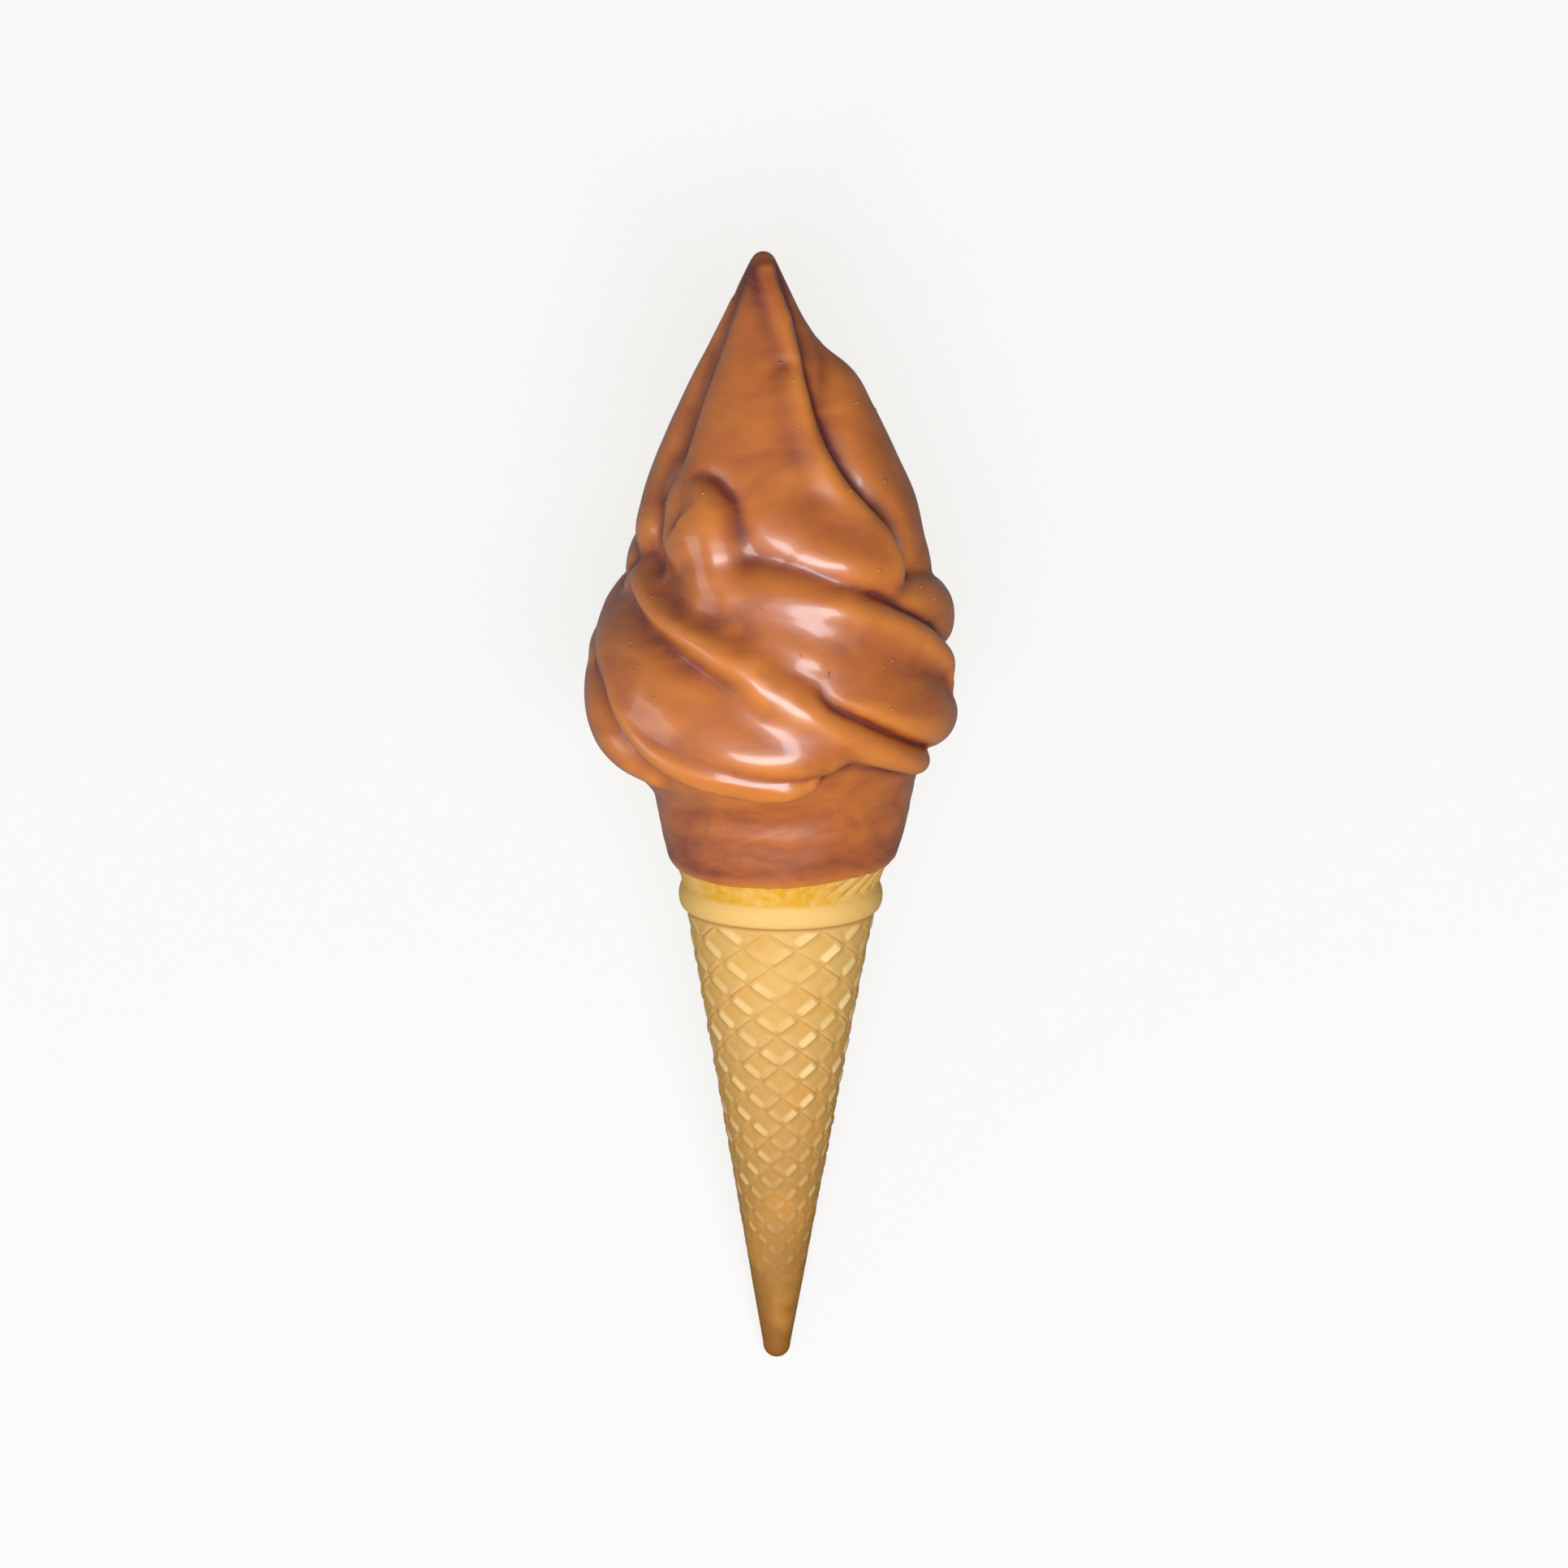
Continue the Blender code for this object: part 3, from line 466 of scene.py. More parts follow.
FOLDS = {
    "front_flap": Fold(
        (-6, 236, 0.6, 3.2),
        (-7, 226, 1.7, 6.8),
        (-13, 214, 2.5, 11.2),
        (-13, 204, 3.1, 15.4),
        (-10, 194, 3.7, 18.8),
        (-5, 187, 3.4, 20.8),
        (-1, 180, 2.2, 21),
        blend=(0.8, 1.4),
        power=3.0,
    ),
    "flap_right_edge": Fold(
        (8, 235, 0.8, 1.6),
        (20, 228, 2.2, 2),
        (24, 219, 3.4, 2.6),
        (20, 211, 4, 3.2),
        (20, 205, 4.3, 3.4),
        (23, 199, 4.6, 3.6),
        (28, 193.5, 4.8, 4),
        (37, 187.5, 5.3, 4.4),
        (44.5, 182.5, 5.6, 4.8),
        (47.5, 178, 5.6, 4.8),
        (45, 173, 4.6, 4.8),
        thickness=6,
        blend=(2.5, 4),
    ),
    "peak_ridge": Fold(
        (12, 235.4, 1.2, 1.2),
        (20, 230, 2.2, 1.6),
        (24, 225, 3, 1.7),
        (25, 220, 3, 1.6),
        (24, 215, 2.4, 1.4),
        thickness=4,
        blend=(2, 2),
    ),
    "flap_hem": Fold(
        (-4, 186, 2.4, 5.4),
        (4, 183.6, 4.2, 6.8),
        (13, 181.2, 5.7, 7.6),
        (24, 178.8, 6.8, 7.8),
        (35, 176.8, 7.2, 7.4),
        (46, 174.8, 6.2, 6.4),
        thickness=8,
        blend=(8, 2.5, 0.8, 0.6, 0.6),
        upper_blend=(7, 6),
    ),
    "left_cheek": Fold(
        (-60, 190.5, 1, 6),
        (-51, 188.4, 3, 8),
        (-43, 185.4, 4.7, 9),
        (-37, 180.6, 5, 9),
        (-32, 174.6, 3.8, 8),
        thickness=9,
        blend=(5, 6),
    ),
    "knuckle": Fold(
        (-46, 190.6, 1.4, 3.6),
        (-38.5, 190.6, 3.6, 4.4),
        (-33, 189.6, 5.4, 5),
        (-29, 187.4, 6.8, 5.2),
        (-26, 184.2, 7.1, 5),
        (-23.4, 180.2, 6.4, 4.8),
        (-21.4, 176, 5, 4.6),
        (-20, 172, 3.4, 4.2),
        thickness=7,
        blend=(6, 8, 6),
        upper_blend=(2, 3, 4.5),
    ),
    "upper_turn": Fold(
        (-50, 171.4, 1.8, 6),
        (-30, 168.6, 3.2, 7.4),
        (-12, 165.6, 4.2, 8.2),
        (6, 162, 4.2, 8.8),
        (22, 158.6, 3.8, 8.8),
        (38, 154.6, 3.2, 8.2),
        (52, 151, 2.8, 7.4),
        (66, 147.6, 2.4, 6.6),
        thickness=8,
        blend=(4, 4),
    ),
    "upper_turn_crest": Fold(
        (-28, 172.6, 2.2, 4.8),
        (-12, 173.2, 4.2, 5.4),
        (4, 172.2, 5.6, 5.8),
        (18, 169.8, 6.2, 5.8),
        (34, 166, 6.1, 5.6),
        (50, 161.6, 5.6, 5),
        (64, 157.2, 5.1, 4.4),
        (74, 152.8, 4.4, 3.8),
        (78, 148.6, 3, 3.4),
        thickness=7,
        blend=(6, 6, 6, 4, 2),
        upper_blend=(5, 2, 0.8, 1.2),
    ),
    "right_lobe": Fold(
        (14, 149.6, 2.6, 4.6),
        (32, 147.8, 3.8, 6),
        (48, 145, 4.4, 7),
        (64, 142.4, 4.6, 7.4),
        (82, 140.8, 4, 7.2),
        (98, 140, 2.4, 7),
        thickness=8,
        blend=(2, 1.2),
        upper_blend=(5, 4),
    ),
    "right_shoulder": Fold(
        (32, 171, 1.4, 3.6),
        (44, 170.4, 2.6, 4.6),
        (56, 168.8, 3.6, 5.8),
        (69, 166.8, 4.3, 7),
        (86, 163, 4.8, 7.8),
        (104, 159.5, 3.6, 8),
        thickness=6,
        blend=(1.2, 1),
        upper_blend=(3, 1.2),
    ),
    "lower_turn": Fold(
        (-90, 160, 1.8, 8),
        (-68, 156.4, 3.4, 9.4),
        (-50, 152.4, 4.4, 10),
        (-32, 148.4, 4.3, 10),
        (-14, 145.2, 3.8, 9.4),
        (4, 142.8, 3.3, 8),
        (16, 141, 2.8, 6.4),
        thickness=9,
        blend=(3, 3),
    ),
    "lower_turn_swell": Fold(
        (-44, 146, 3.4, 4.6),
        (-32, 142.8, 4.6, 5),
        (-18, 140.2, 5.7, 5),
        (-4, 138.9, 6.3, 4.8),
        (8, 138.6, 5.9, 4.6),
        (18, 138.8, 4.2, 4.2),
        thickness=6,
        blend=(3, 3),
        upper_blend=(5, 5),
    ),
    "middle_ridge": Fold(
        (-84, 169, 0.8, 2.6),
        (-73, 171.4, 2.2, 3.2),
        (-62, 169.9, 3.3, 3.2),
        (-46, 166.2, 4.4, 3.1),
        (-34, 163.8, 4.9, 3.1),
        (-20, 161, 5.3, 3.4),
        (-9, 157.8, 5.4, 4),
        (0, 153.8, 5.4, 4.6),
        (10, 149.2, 5.3, 4.8),
        (20, 145, 5.2, 4.5),
        (33, 141, 4.9, 4.2),
        (46, 137.8, 4.7, 3.9),
        (60, 134.8, 4.2, 3.6),
        (72, 133, 2.4, 3),
        thickness=6,
        blend=(3, 4, 5, 6, 5, 1.5, 0.7),
        upper_blend=(3, 4.5, 4.5, 4.5, 1.6, 0.5, 0.5),
        lean=-10.0,
    ),
    "left_pouch": Fold(
        (-106, 151, 2, 7),
        (-90, 145, 3, 9),
        (-77, 139, 3.8, 9.4),
        (-66, 134.5, 3.6, 8),
        (-54, 130.5, 2, 5.6),
        thickness=8,
        blend=(2, 2),
    ),
    "bottom_lip": Fold(
        (-84, 161, 0.8, 2.6),
        (-70, 157.2, 3, 3.2),
        (-58, 152.4, 4.6, 3.6),
        (-49.5, 146, 5.6, 3.9),
        (-39, 140.5, 6.5, 4.1),
        (-25, 137, 7.4, 4.1),
        (-10, 135.3, 7.9, 4),
        (1, 134.6, 7.5, 3.9),
        (7, 134.5, 6.6, 3.7),
        (12, 134.8, 5, 3.3),
        thickness=7,
        blend=(1, 0.4),
        upper_blend=(2, 4, 2.5, 1),
        lean=-8.0,
    ),
    "right_rear_lobe": Fold(
        (88, 219, 0.2, 3),
        (82, 212.8, 3, 8.5),
        (76, 205, 3.2, 12),
        (73, 194, 3.4, 15.5),
        (75, 184, 3.9, 16.5),
        (80, 176, 3.6, 12),
        thickness=6,
        blend=(1.5, 1),
    ),
    "left_rear_lobe": Fold(
        (-84, 228, 0.4, 3),
        (-88, 214, 1.4, 6),
        (-86, 204, 2, 8),
        (-84, 192, 2.8, 9),
        (-80, 182, 3.2, 8.5),
        thickness=6,
        blend=(0.8, 1.5),
    ),
    "rear_crown": rear_turn(208, 193, 2.8, 7.2),
    "rear_upper_turn": rear_turn(195, 172, 3.8, 8.0),
    "rear_second_turn": rear_turn(180, 161, 4.0, 7.4),
    "rear_third_turn": rear_turn(163, 152, 4.4, 8.4),
    "rear_bottom_turn": rear_turn(141, 140, 1.9, 8.4),
}
GROOVES = {
    "over_knuckle": Fold(
        (-44, 193.4, 0.2, 1.8),
        (-37, 194.4, 0.6, 2),
        (-31, 194, 1.1, 2.2),
        (-25.5, 192.2, 1.3, 2.4),
        (-21, 189.4, 1.2, 2.8),
        (-18, 185.4, 0.9, 3),
        (-16, 181, 0.5, 3),
        (-15, 177, 0.2, 2.8),
    ),
    "over_middle_ridge": Fold(
        (-68, 177, 0.6, 2.6),
        (-54, 173.2, 1.6, 3.6),
        (-42, 170.6, 1.8, 4.2),
        (-28, 168, 1.3, 4.4),
        (-12, 164.6, 0.5, 4.4),
    ),
    "beside_flap": Fold(
        (34, 224, 0.2, 1.2),
        (32, 214, 0.8, 1.8),
        (30, 207, 1, 2.2),
        (33.5, 200, 1.1, 2.6),
        (39, 194, 1.2, 2.8),
        (47, 189.2, 1.5, 2.8),
        (54.5, 184.6, 2, 2.6),
        (58, 179.6, 2.4, 2.4),
        (58.5, 174, 1.2, 2),
    ),
    "upper_turn_hollow": Fold(
        (16, 159, 0.2, 3.6),
        (32, 156.6, 0.6, 4.6),
        (48, 153, 0.7, 4.6),
        (60, 150.4, 0.4, 4),
        (69, 149, 0.1, 3),
    ),
    "tongue_crease": Fold(
        (14, 153.4, 0.1, 1.2),
        (18, 150.4, 0.8, 1.2),
        (27, 147.3, 1.2, 1.2),
        (38, 143.8, 1.2, 1.3),
        (52, 139.6, 1.2, 1.3),
        (66, 136.6, 1, 1.2),
    ),
    "peak_dimple": Fold(
        (-6, 213.6, 0.1, 1.6),
        (3, 215.4, 0.3, 1.8),
        (12, 216.4, 0.5, 2),
        (20, 216.2, 0.5, 2),
        (27, 215, 0.2, 1.6),
    ),
}


def smooth_min(a, b, blend):
    """The smaller of two distances, rounded over where they are nearly equal."""
    share = np.clip(0.5 + 0.5 * (b - a) / blend, 0, 1)
    return b + (a - b) * share - blend * share * (1 - share)


def swirl_distance(points):
    """About how far each point lies outside the dipped swirl."""
    over, foot = over_body(points)
    distance = over
    for fold in FOLDS.values():
        distance = smooth_min(distance, *fold.distance(over, foot))
    for groove in GROOVES.values():
        distance = distance + groove.depth(foot)
    below = dip_edge(points) - points[:, 2]
    return -smooth_min(-distance, -below, 2 * DIP_ROUNDING)


def swirl_mesh():
    """The dipped swirl: an egg around it whose points settle on its surface, in finer and finer stages."""
    maker = bmesh.new()
    bmesh.ops.create_uvsphere(maker, u_segments=64, v_segments=48, radius=1)
    bottom, top = DIP_HEIGHT - 2, PEAK_HEIGHT + 4
    for vertex in maker.verts:
        share = 0.5 + math.asin(max(-1, min(1, vertex.co.z))) / math.pi
        height = bottom + (top - bottom) * share
        radius, shift, _ = body_at(height)
        side = vertex.co.xy.normalized()
        side *= min(radius + EGG_MARGIN, EGG_ENDS * share, EGG_ENDS * (1 - share))
        vertex.co = (shift + side.x, side.y, height)
    return end_mesh(maker, "chocolate_coat")


def settle(obj, passes):
    """Slides the points along their normals until they lie on the swirl's surface."""
    for _ in range(passes):
        points = get_points(obj.data)
        slide = np.clip(swirl_distance(points), -LONGEST_SLIDE, LONGEST_SLIDE) * SLIDE_SHARE
        set_points(obj.data, points - slide[:, None] * get_normals(obj.data))


def lay_down(obj):
    """Turns an upright piece in millimetres into its place in the frame, and flattens it on the table."""
    low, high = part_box("wafer_cone")
    middle = (low.x + high.x) / 2
    tip = low.y - TIP_RADIUS * (math.cos(LYING_ANGLE) - 1) * MM
    lift = (TIP_RADIUS * (1 - math.sin(LYING_ANGLE)) - TIP_FLAT) * MM
    place = Matrix.Translation((middle, tip, lift)) @ Matrix.Rotation(LYING_ANGLE - math.pi / 2, 4, "X")
    obj.data.transform(place @ Matrix.Scale(MM, 4))
    points = get_points(obj.data)
    points[:, 2] = np.maximum(points[:, 2], 0)
    set_points(obj.data, points)
    obj.data.shade_smooth()


def mark_thickness_and_shade(obj):
    """Stores the coat's tone: lighter on crests, darker in hollows, at the peak and the rim; hollows and
    peak also get painted shade.
    """
    points = get_points(obj.data)
    evened = new_object("evened", obj.data.copy())
    smooth = evened.modifiers.new("smooth", "SMOOTH")
    smooth.iterations = HOLLOW_STEPS
    keep_result(evened)
    sunk = ((get_points(evened.data) - points) * get_normals(obj.data)).sum(axis=1)
    bpy.data.objects.remove(evened)
    near_peak = np.clip((points[:, 2] - PEAK_HEIGHT + PEAK_LENGTH) / PEAK_LENGTH, 0, 1)
    rim = np.clip((DIP_HEIGHT + RIM_WIDTH - points[:, 2]) / RIM_WIDTH, 0, 1)
    # Hollows and the peak darken as thicker coat and as painted shade; toward the rim it only gets darker
    thickness = EVEN_TONE + HOLLOW_SHADE * sunk + PEAK_SHADE * near_peak**1.5 + RIM_TONE * rim
    mark = obj.data.attributes.new("thickness", "FLOAT", "POINT")
    mark.data.foreach_set("value", np.clip(thickness, 0, 1.2).astype(np.float32))


# ------------------------------ relief of the coat

MATH = "ShaderNodeMath"
RANGE = "ShaderNodeMapRange"  # a value, the range it is measured on, and the range that this becomes
SMOOTH = {"interpolation_type": "SMOOTHSTEP"}


def coat_relief_tree():
    """What the poured coat adds: a slow unevenness all over, and level wrinkles round the neck."""
    tree, given = new_tree("coat_relief", COAT_SIZES)
    place = add(tree, "GeometryNodeInputPosition")
    normal = add(tree, "GeometryNodeInputNormal")
    height = add(tree, "ShaderNodeSeparateXYZ", (place,), output="Z")
    rate = add(tree, MATH, (1.0, given["Unevenness size"]), operation="DIVIDE")
    uneven = add(tree, "ShaderNodeTexNoise", {"Vector": place, "Scale": rate, "Detail": 1.0})
    uneven = add(tree, MATH, (uneven, -0.5), operation="ADD")
    uneven = add(tree, MATH, (uneven, given["Unevenness"]), operation="MULTIPLY")
    along = add(tree, MATH, (1.0, given["Wrinkle length"]), operation="DIVIDE")
    down = add(tree, MATH, (1.0, given["Wrinkle spacing"]), operation="DIVIDE")
    stretch = add(tree, "ShaderNodeCombineXYZ", (along, along, down))
    stretched = add(tree, "ShaderNodeVectorMath", (place, stretch), operation="MULTIPLY")
    wrinkles = add(tree, "ShaderNodeTexNoise", {"Vector": stretched, "Scale": 1.0, "Detail": 2.0})
    wrinkles = add(tree, MATH, (wrinkles, -0.5), operation="ADD")
    below = add(tree, MATH, (given["Neck top"], height), operation="SUBTRACT")
    on_neck = add(tree, RANGE, (below, 0.0, given["Neck blend"], 0.0, 1.0), **SMOOTH)
    wrinkles = add(tree, MATH, (wrinkles, on_neck), operation="MULTIPLY")
    wrinkles = add(tree, MATH, (wrinkles, given["Wrinkle depth"]), operation="MULTIPLY")
    rise = add(tree, MATH, (uneven, wrinkles), operation="ADD")
    offset = add(tree, "ShaderNodeVectorMath", {"Vector": normal, "Scale": rise}, operation="SCALE")
    moved = {"Geometry": given["Geometry"], "Offset": offset}
    end_tree(tree, add(tree, "GeometryNodeSetPosition", moved), given["Material"])
    return tree


def coat_bubbles_tree():
    """Small air bubbles that the coat set over: flat domes of mixed sizes, scattered on its surface."""
    tree, given = new_tree("coat_bubbles", BUBBLE_SIZES)
    mesh, density, seed = given["Geometry"], given["Bubbles per square mm"], given["Seed"]
    scattered = {"Mesh": mesh, "Density": density, "Seed": seed}
    spots = add(tree, "GeometryNodeDistributePointsOnFaces", scattered, output=None).outputs
    ball = add(tree, "GeometryNodeMeshIcoSphere", {"Radius": 1.0, "Subdivisions": 2})
    ball = add(tree, "GeometryNodeSetShadeSmooth", (ball,))
    between = {2: given["Smallest radius"], 3: given["Largest radius"], "Seed": seed}
    size = add(tree, "FunctionNodeRandomValue", between, output=1, data_type="FLOAT")
    depth = add(tree, MATH, (size, given["Flatness"]), operation="MULTIPLY")
    scale = add(tree, "ShaderNodeCombineXYZ", (size, size, depth))
    placed = {"Points": spots["Points"], "Instance": ball, "Rotation": spots["Rotation"], "Scale": scale}
    end_tree(tree, add(tree, "GeometryNodeInstanceOnPoints", placed), given["Material"])
    return tree


# ------------------------------ form of the wafer


def wafer_radius(height):
    """The wafer's radius, before the lattice is pressed in."""
    if height < TIP_RADIUS * (1 - STEM_TAPER):
        return math.sqrt(max(TIP_RADIUS**2 - (TIP_RADIUS - height) ** 2, 0))
    stem_top = TIP_RADIUS + STEM_TAPER * (STEM_TOP - TIP_RADIUS)
    heights = (TIP_RADIUS, STEM_TOP, COLLAR_FOOT, COLLAR_TOP)
    radii = (TIP_RADIUS, stem_top, COLLAR_FOOT_RADIUS, COLLAR_TOP_RADIUS)
    radius = float(np.interp(height, heights, radii))
    across = (height - RING_HEIGHT) / RING_HALF_HEIGHT
    if abs(across) < 1:
        radius = max(radius, RING_RADIUS - RING_BULGE * (1 - math.sqrt(1 - across**2)))
    under_ring = (height - RING_FOOT) / UNDERCUT_WIDTH
    return radius - UNDERCUT * math.exp(-(under_ring**2))


def turned_wafer():
    """The plain wafer, a profile turned about its axis."""
    tip_end = TIP_RADIUS * (1 - STEM_TAPER)
    heights = [
        *np.arange(COLLAR_TOP, STEM_TOP + 1, -RING_STEP_HEIGHT),
        *np.arange(STEM_TOP + 0.8, LATTICE_END, -LATTICE_STEP_HEIGHT),
        *np.arange(LATTICE_END, tip_end, -PLAIN_STEP_HEIGHT),
        *(TIP_RADIUS * (1 - math.cos(turn)) for turn in np.linspace(*TIP_BOW, TIP_STEPS)),
    ]
    profile = [(0, COLLAR_TOP), *((wafer_radius(height), height) for height in heights), (0, 0)]
    mesh = bpy.data.meshes.new("moulded_wafer")
    edges = [(i, i + 1) for i in range(len(profile) - 1)]
    mesh.from_pydata([(radius, 0, height) for radius, height in profile], edges, [])
    obj = new_object("moulded_wafer", mesh)
    screw = obj.modifiers.new("turn", "SCREW")
    screw.steps = screw.render_steps = WAFER_STEPS
    screw.use_merge_vertices = True
    screw.merge_threshold = 0.0001
    keep_result(obj)
    return obj


# A bar of the lattice, in shares of the way across a lozenge: its crest, where its slanted face comes in and
# goes out (painted pale, partly a painted highlight), and where the painted shade of the crease beside it
# ends
BAR_CREST = 0.95
FACE_START = (0.62, 0.78)
FACE_END = (0.96, 1.0)
CREASE_END = 0.09
# How a bar and its face round off toward the crossings, from 0 at a crossing to 1 between two
BAR_ENDS = (0.15, 0.75)
FACE_ENDS = (0.3, 0.62)
# The faintest bar, painted pale face and painted crease shade, as shares of the clearest
FAINTEST_BAR = 0.55
FAINTEST_FACE = 0.1
FAINTEST_CREASE = 0.25


def wafer_pattern(tree, place, sizes):
    """The mould's pattern at a place on the upright wafer: how deep it presses, and what it shows.

    The lattice of lozenges is on the stem, and slanted flutes are on the collar.
    """
    apart = add(tree, "ShaderNodeSeparateXYZ", (place,), output=None).outputs
    height = apart["Z"]
    back = add(tree, MATH, (apart["Y"], -1.0), operation="MULTIPLY")
    angle = add(tree, MATH, (apart["X"], back), operation="ARCTAN2")
    degrees = add(tree, MATH, (angle,), operation="DEGREES")
    to_right = add(tree, MATH, (angle,), operation="SINE")

    # Rows counted down from the lattice's top, each a little closer than the one above: the depth below the
    # top is the first pitch times the row, less the pitch loss times the row squared
    below = add(tree, MATH, (sizes["Lattice top"], height), operation="SUBTRACT")
    loss = add(tree, MATH, (sizes["Pitch loss"], 4.0), operation="MULTIPLY")
    loss = add(tree, MATH, (loss, below), operation="MULTIPLY")
    root = add(tree, MATH, (sizes["First pitch"], 2.0), operation="POWER")
    root = add(tree, MATH, (root, loss), operation="SUBTRACT")
    root = add(tree, MATH, (root, 0.01), operation="MAXIMUM")
    root = add(tree, MATH, (root,), operation="SQRT")
    double = add(tree, MATH, (sizes["Pitch loss"], 2.0), operation="MULTIPLY")
    row = add(tree, MATH, (sizes["First pitch"], root), operation="SUBTRACT")
    row = add(tree, MATH, (row, double), operation="DIVIDE")

    # How many lozenges round from the first crossing
    twist = add(tree, MATH, (row, sizes["Row turn"], sizes["Lattice turn"]), operation="MULTIPLY_ADD")
    turn = add(tree, MATH, (degrees, twist), operation="SUBTRACT")
    share = add(tree, MATH, (sizes["Lozenges round"], 360.0), operation="DIVIDE")
    turn = add(tree, MATH, (turn, share), operation="MULTIPLY")
    one = add(tree, MATH, (row, turn), operation="ADD")
    other = add(tree, MATH, (row, turn), operation="SUBTRACT")

    # Each wall of a lozenge is a bar with a slanted face, a crease beyond it and rounded ends. The face is
    # painted pale, partly a painted highlight that is stronger on the side the bar leans toward; the crease
    # is painted shade
    ramp_start = add(tree, MATH, (1.0, sizes["Slanted share"]), operation="SUBTRACT")
    bars, pale_and_lit_facets, crease_shade_lines, waves = [], [], [], []
    for across, along, side in ((one, other, 1.0), (other, one, -1.0)):
        part = add(tree, MATH, (across,), operation="FRACT")
        slant = add(tree, RANGE, (part, ramp_start, BAR_CREST, 0.0, 1.0), **SMOOTH)
        steep = add(tree, RANGE, (part, 0.0, sizes["Steep share"], 1.0, 0.0), **SMOOTH)
        wall = add(tree, MATH, (slant, steep), operation="MAXIMUM")
        way = add(tree, MATH, (along, math.pi), operation="MULTIPLY")
        wave = add(tree, MATH, (way,), operation="SINE")
        wave = add(tree, MATH, (wave,), operation="ABSOLUTE")
        ends = add(tree, RANGE, (wave, *BAR_ENDS, 0.1, 1.0), **SMOOTH)
        near = add(tree, MATH, (across, 0.5), operation="ADD")
        near = add(tree, MATH, (near,), operation="FLOOR")
        cell = add(tree, MATH, (along,), operation="FLOOR")
        which = add(tree, "ShaderNodeCombineXYZ", (near, cell, side))
        which = {"Vector": which, "W": sizes["Seed"]}
        luck = add(tree, "ShaderNodeTexWhiteNoise", which, noise_dimensions="4D")
        full = add(tree, RANGE, (luck, 0.0, 1.0, FAINTEST_BAR, 1.0))
        bar = add(tree, MATH, (wall, ends), operation="MULTIPLY")
        bars.append(add(tree, MATH, (bar, full), operation="MULTIPLY"))
        waves.append(wave)

        lit_side = add(tree, MATH, (to_right, side), operation="MULTIPLY")
        lit_side = add(tree, RANGE, (lit_side, -0.1, 0.55, 0.2, 1.0), **SMOOTH)
        from_line = add(tree, RANGE, (part, *FACE_START, 0.0, 1.0), **SMOOTH)
        to_line = add(tree, RANGE, (part, *FACE_END, 1.0, 0.0), **SMOOTH)
        face = add(tree, MATH, (from_line, to_line), operation="MULTIPLY")
        rounded = add(tree, RANGE, (wave, *FACE_ENDS, 0.0, 1.0), **SMOOTH)
        face = add(tree, MATH, (face, rounded), operation="MULTIPLY")
        pale_and_lit = add(tree, RANGE, (luck, 0.0, 1.0, FAINTEST_FACE, 1.0))
        pale_and_lit = add(tree, MATH, (pale_and_lit, lit_side), operation="MULTIPLY")
        pale_and_lit_facets.append(add(tree, MATH, (face, pale_and_lit), operation="MULTIPLY"))
        # The crease beside each bar is painted shade, fading toward the crossings
        into_line = add(tree, RANGE, (part, 0.0, CREASE_END, 1.0, 0.0), **SMOOTH)
        line_shade = add(tree, RANGE, (luck, 0.0, 0.9, FAINTEST_CREASE, 1.0))
        line_shade = add(tree, MATH, (line_shade, into_line), operation="MULTIPLY")
        fades_at_crossings = add(tree, RANGE, (wave, 0.0, 0.5, 0.35, 1.0))
        crease_shade_lines.append(add(tree, MATH, (line_shade, fades_at_crossings), operation="MULTIPLY"))
    crest = add(tree, MATH, bars, operation="MAXIMUM")
    pillow = add(tree, MATH, waves, operation="MULTIPLY")
    pillow = add(tree, MATH, (pillow, sizes["Pillow"]), operation="MULTIPLY")
    fade = add(tree, RANGE, (row, sizes["Fade start"], sizes["Fade end"], 1.0, 0.0))
    inside = add(tree, RANGE, (below, 0.0, 0.8, 0.0, 1.0))
    inside = add(tree, MATH, (inside, fade), operation="MULTIPLY")
    sink = add(tree, MATH, (1.0, crest), operation="SUBTRACT")
    sink = add(tree, MATH, (sink, sizes["Lattice depth"]), operation="MULTIPLY")
    sink = add(tree, MATH, (sink, pillow), operation="SUBTRACT")
    sink = add(tree, MATH, (sink, inside), operation="MULTIPLY")

    # Slanted flutes on the collar, which show on the right and round the back
    over_foot = add(tree, MATH, (height, COLLAR_FOOT), operation="SUBTRACT")
    lean = add(tree, MATH, (over_foot, sizes["Flute slant"], degrees), operation="MULTIPLY_ADD")
    flute = add(tree, MATH, (sizes["Flutes round"], math.pi / 360), operation="MULTIPLY")
    flute = add(tree, MATH, (lean, flute), operation="MULTIPLY")
    flute = add(tree, MATH, (flute,), operation="SINE")
    flute = add(tree, MATH, (flute,), operation="ABSOLUTE")
    flute = add(tree, RANGE, (flute, 0.0, 0.7, 1.0, 0.0), **SMOOTH)
    from_right = add(tree, MATH, (angle, -FLUTES_MIDDLE), operation="ADD")
    from_right = add(tree, MATH, (from_right,), operation="COSINE")
    shows = add(tree, RANGE, (from_right, -0.15, 0.3, 0.0, 1.0))
    on_collar = add(tree, RANGE, (over_foot, -0.6, 0.6, 0.0, 1.0))
    flute = add(tree, MATH, (flute, shows), operation="MULTIPLY")
    groove = add(tree, MATH, (flute, on_collar), operation="MULTIPLY")
    flute = add(tree, MATH, (groove, sizes["Flute depth"]), operation="MULTIPLY")

    # The porous part of the collar, in front, and a line of painted shade under the ring
    from_front = add(tree, MATH, (angle, -POROUS_MIDDLE), operation="ADD")
    from_front = add(tree, MATH, (from_front,), operation="COSINE")
    in_front = add(tree, RANGE, (from_front, 0.7, 0.86, 0.35, 1.0))
    porous = add(tree, RANGE, (over_foot, -2.2, -1.2, 0.0, 1.0))
    under_ring = add(tree, MATH, (height, RING_FOOT + 0.1), operation="SUBTRACT")
    under_ring = add(tree, MATH, (under_ring,), operation="ABSOLUTE")
    under_ring = add(tree, RANGE, (under_ring, 0.1, 0.5, 1.0, 0.0))
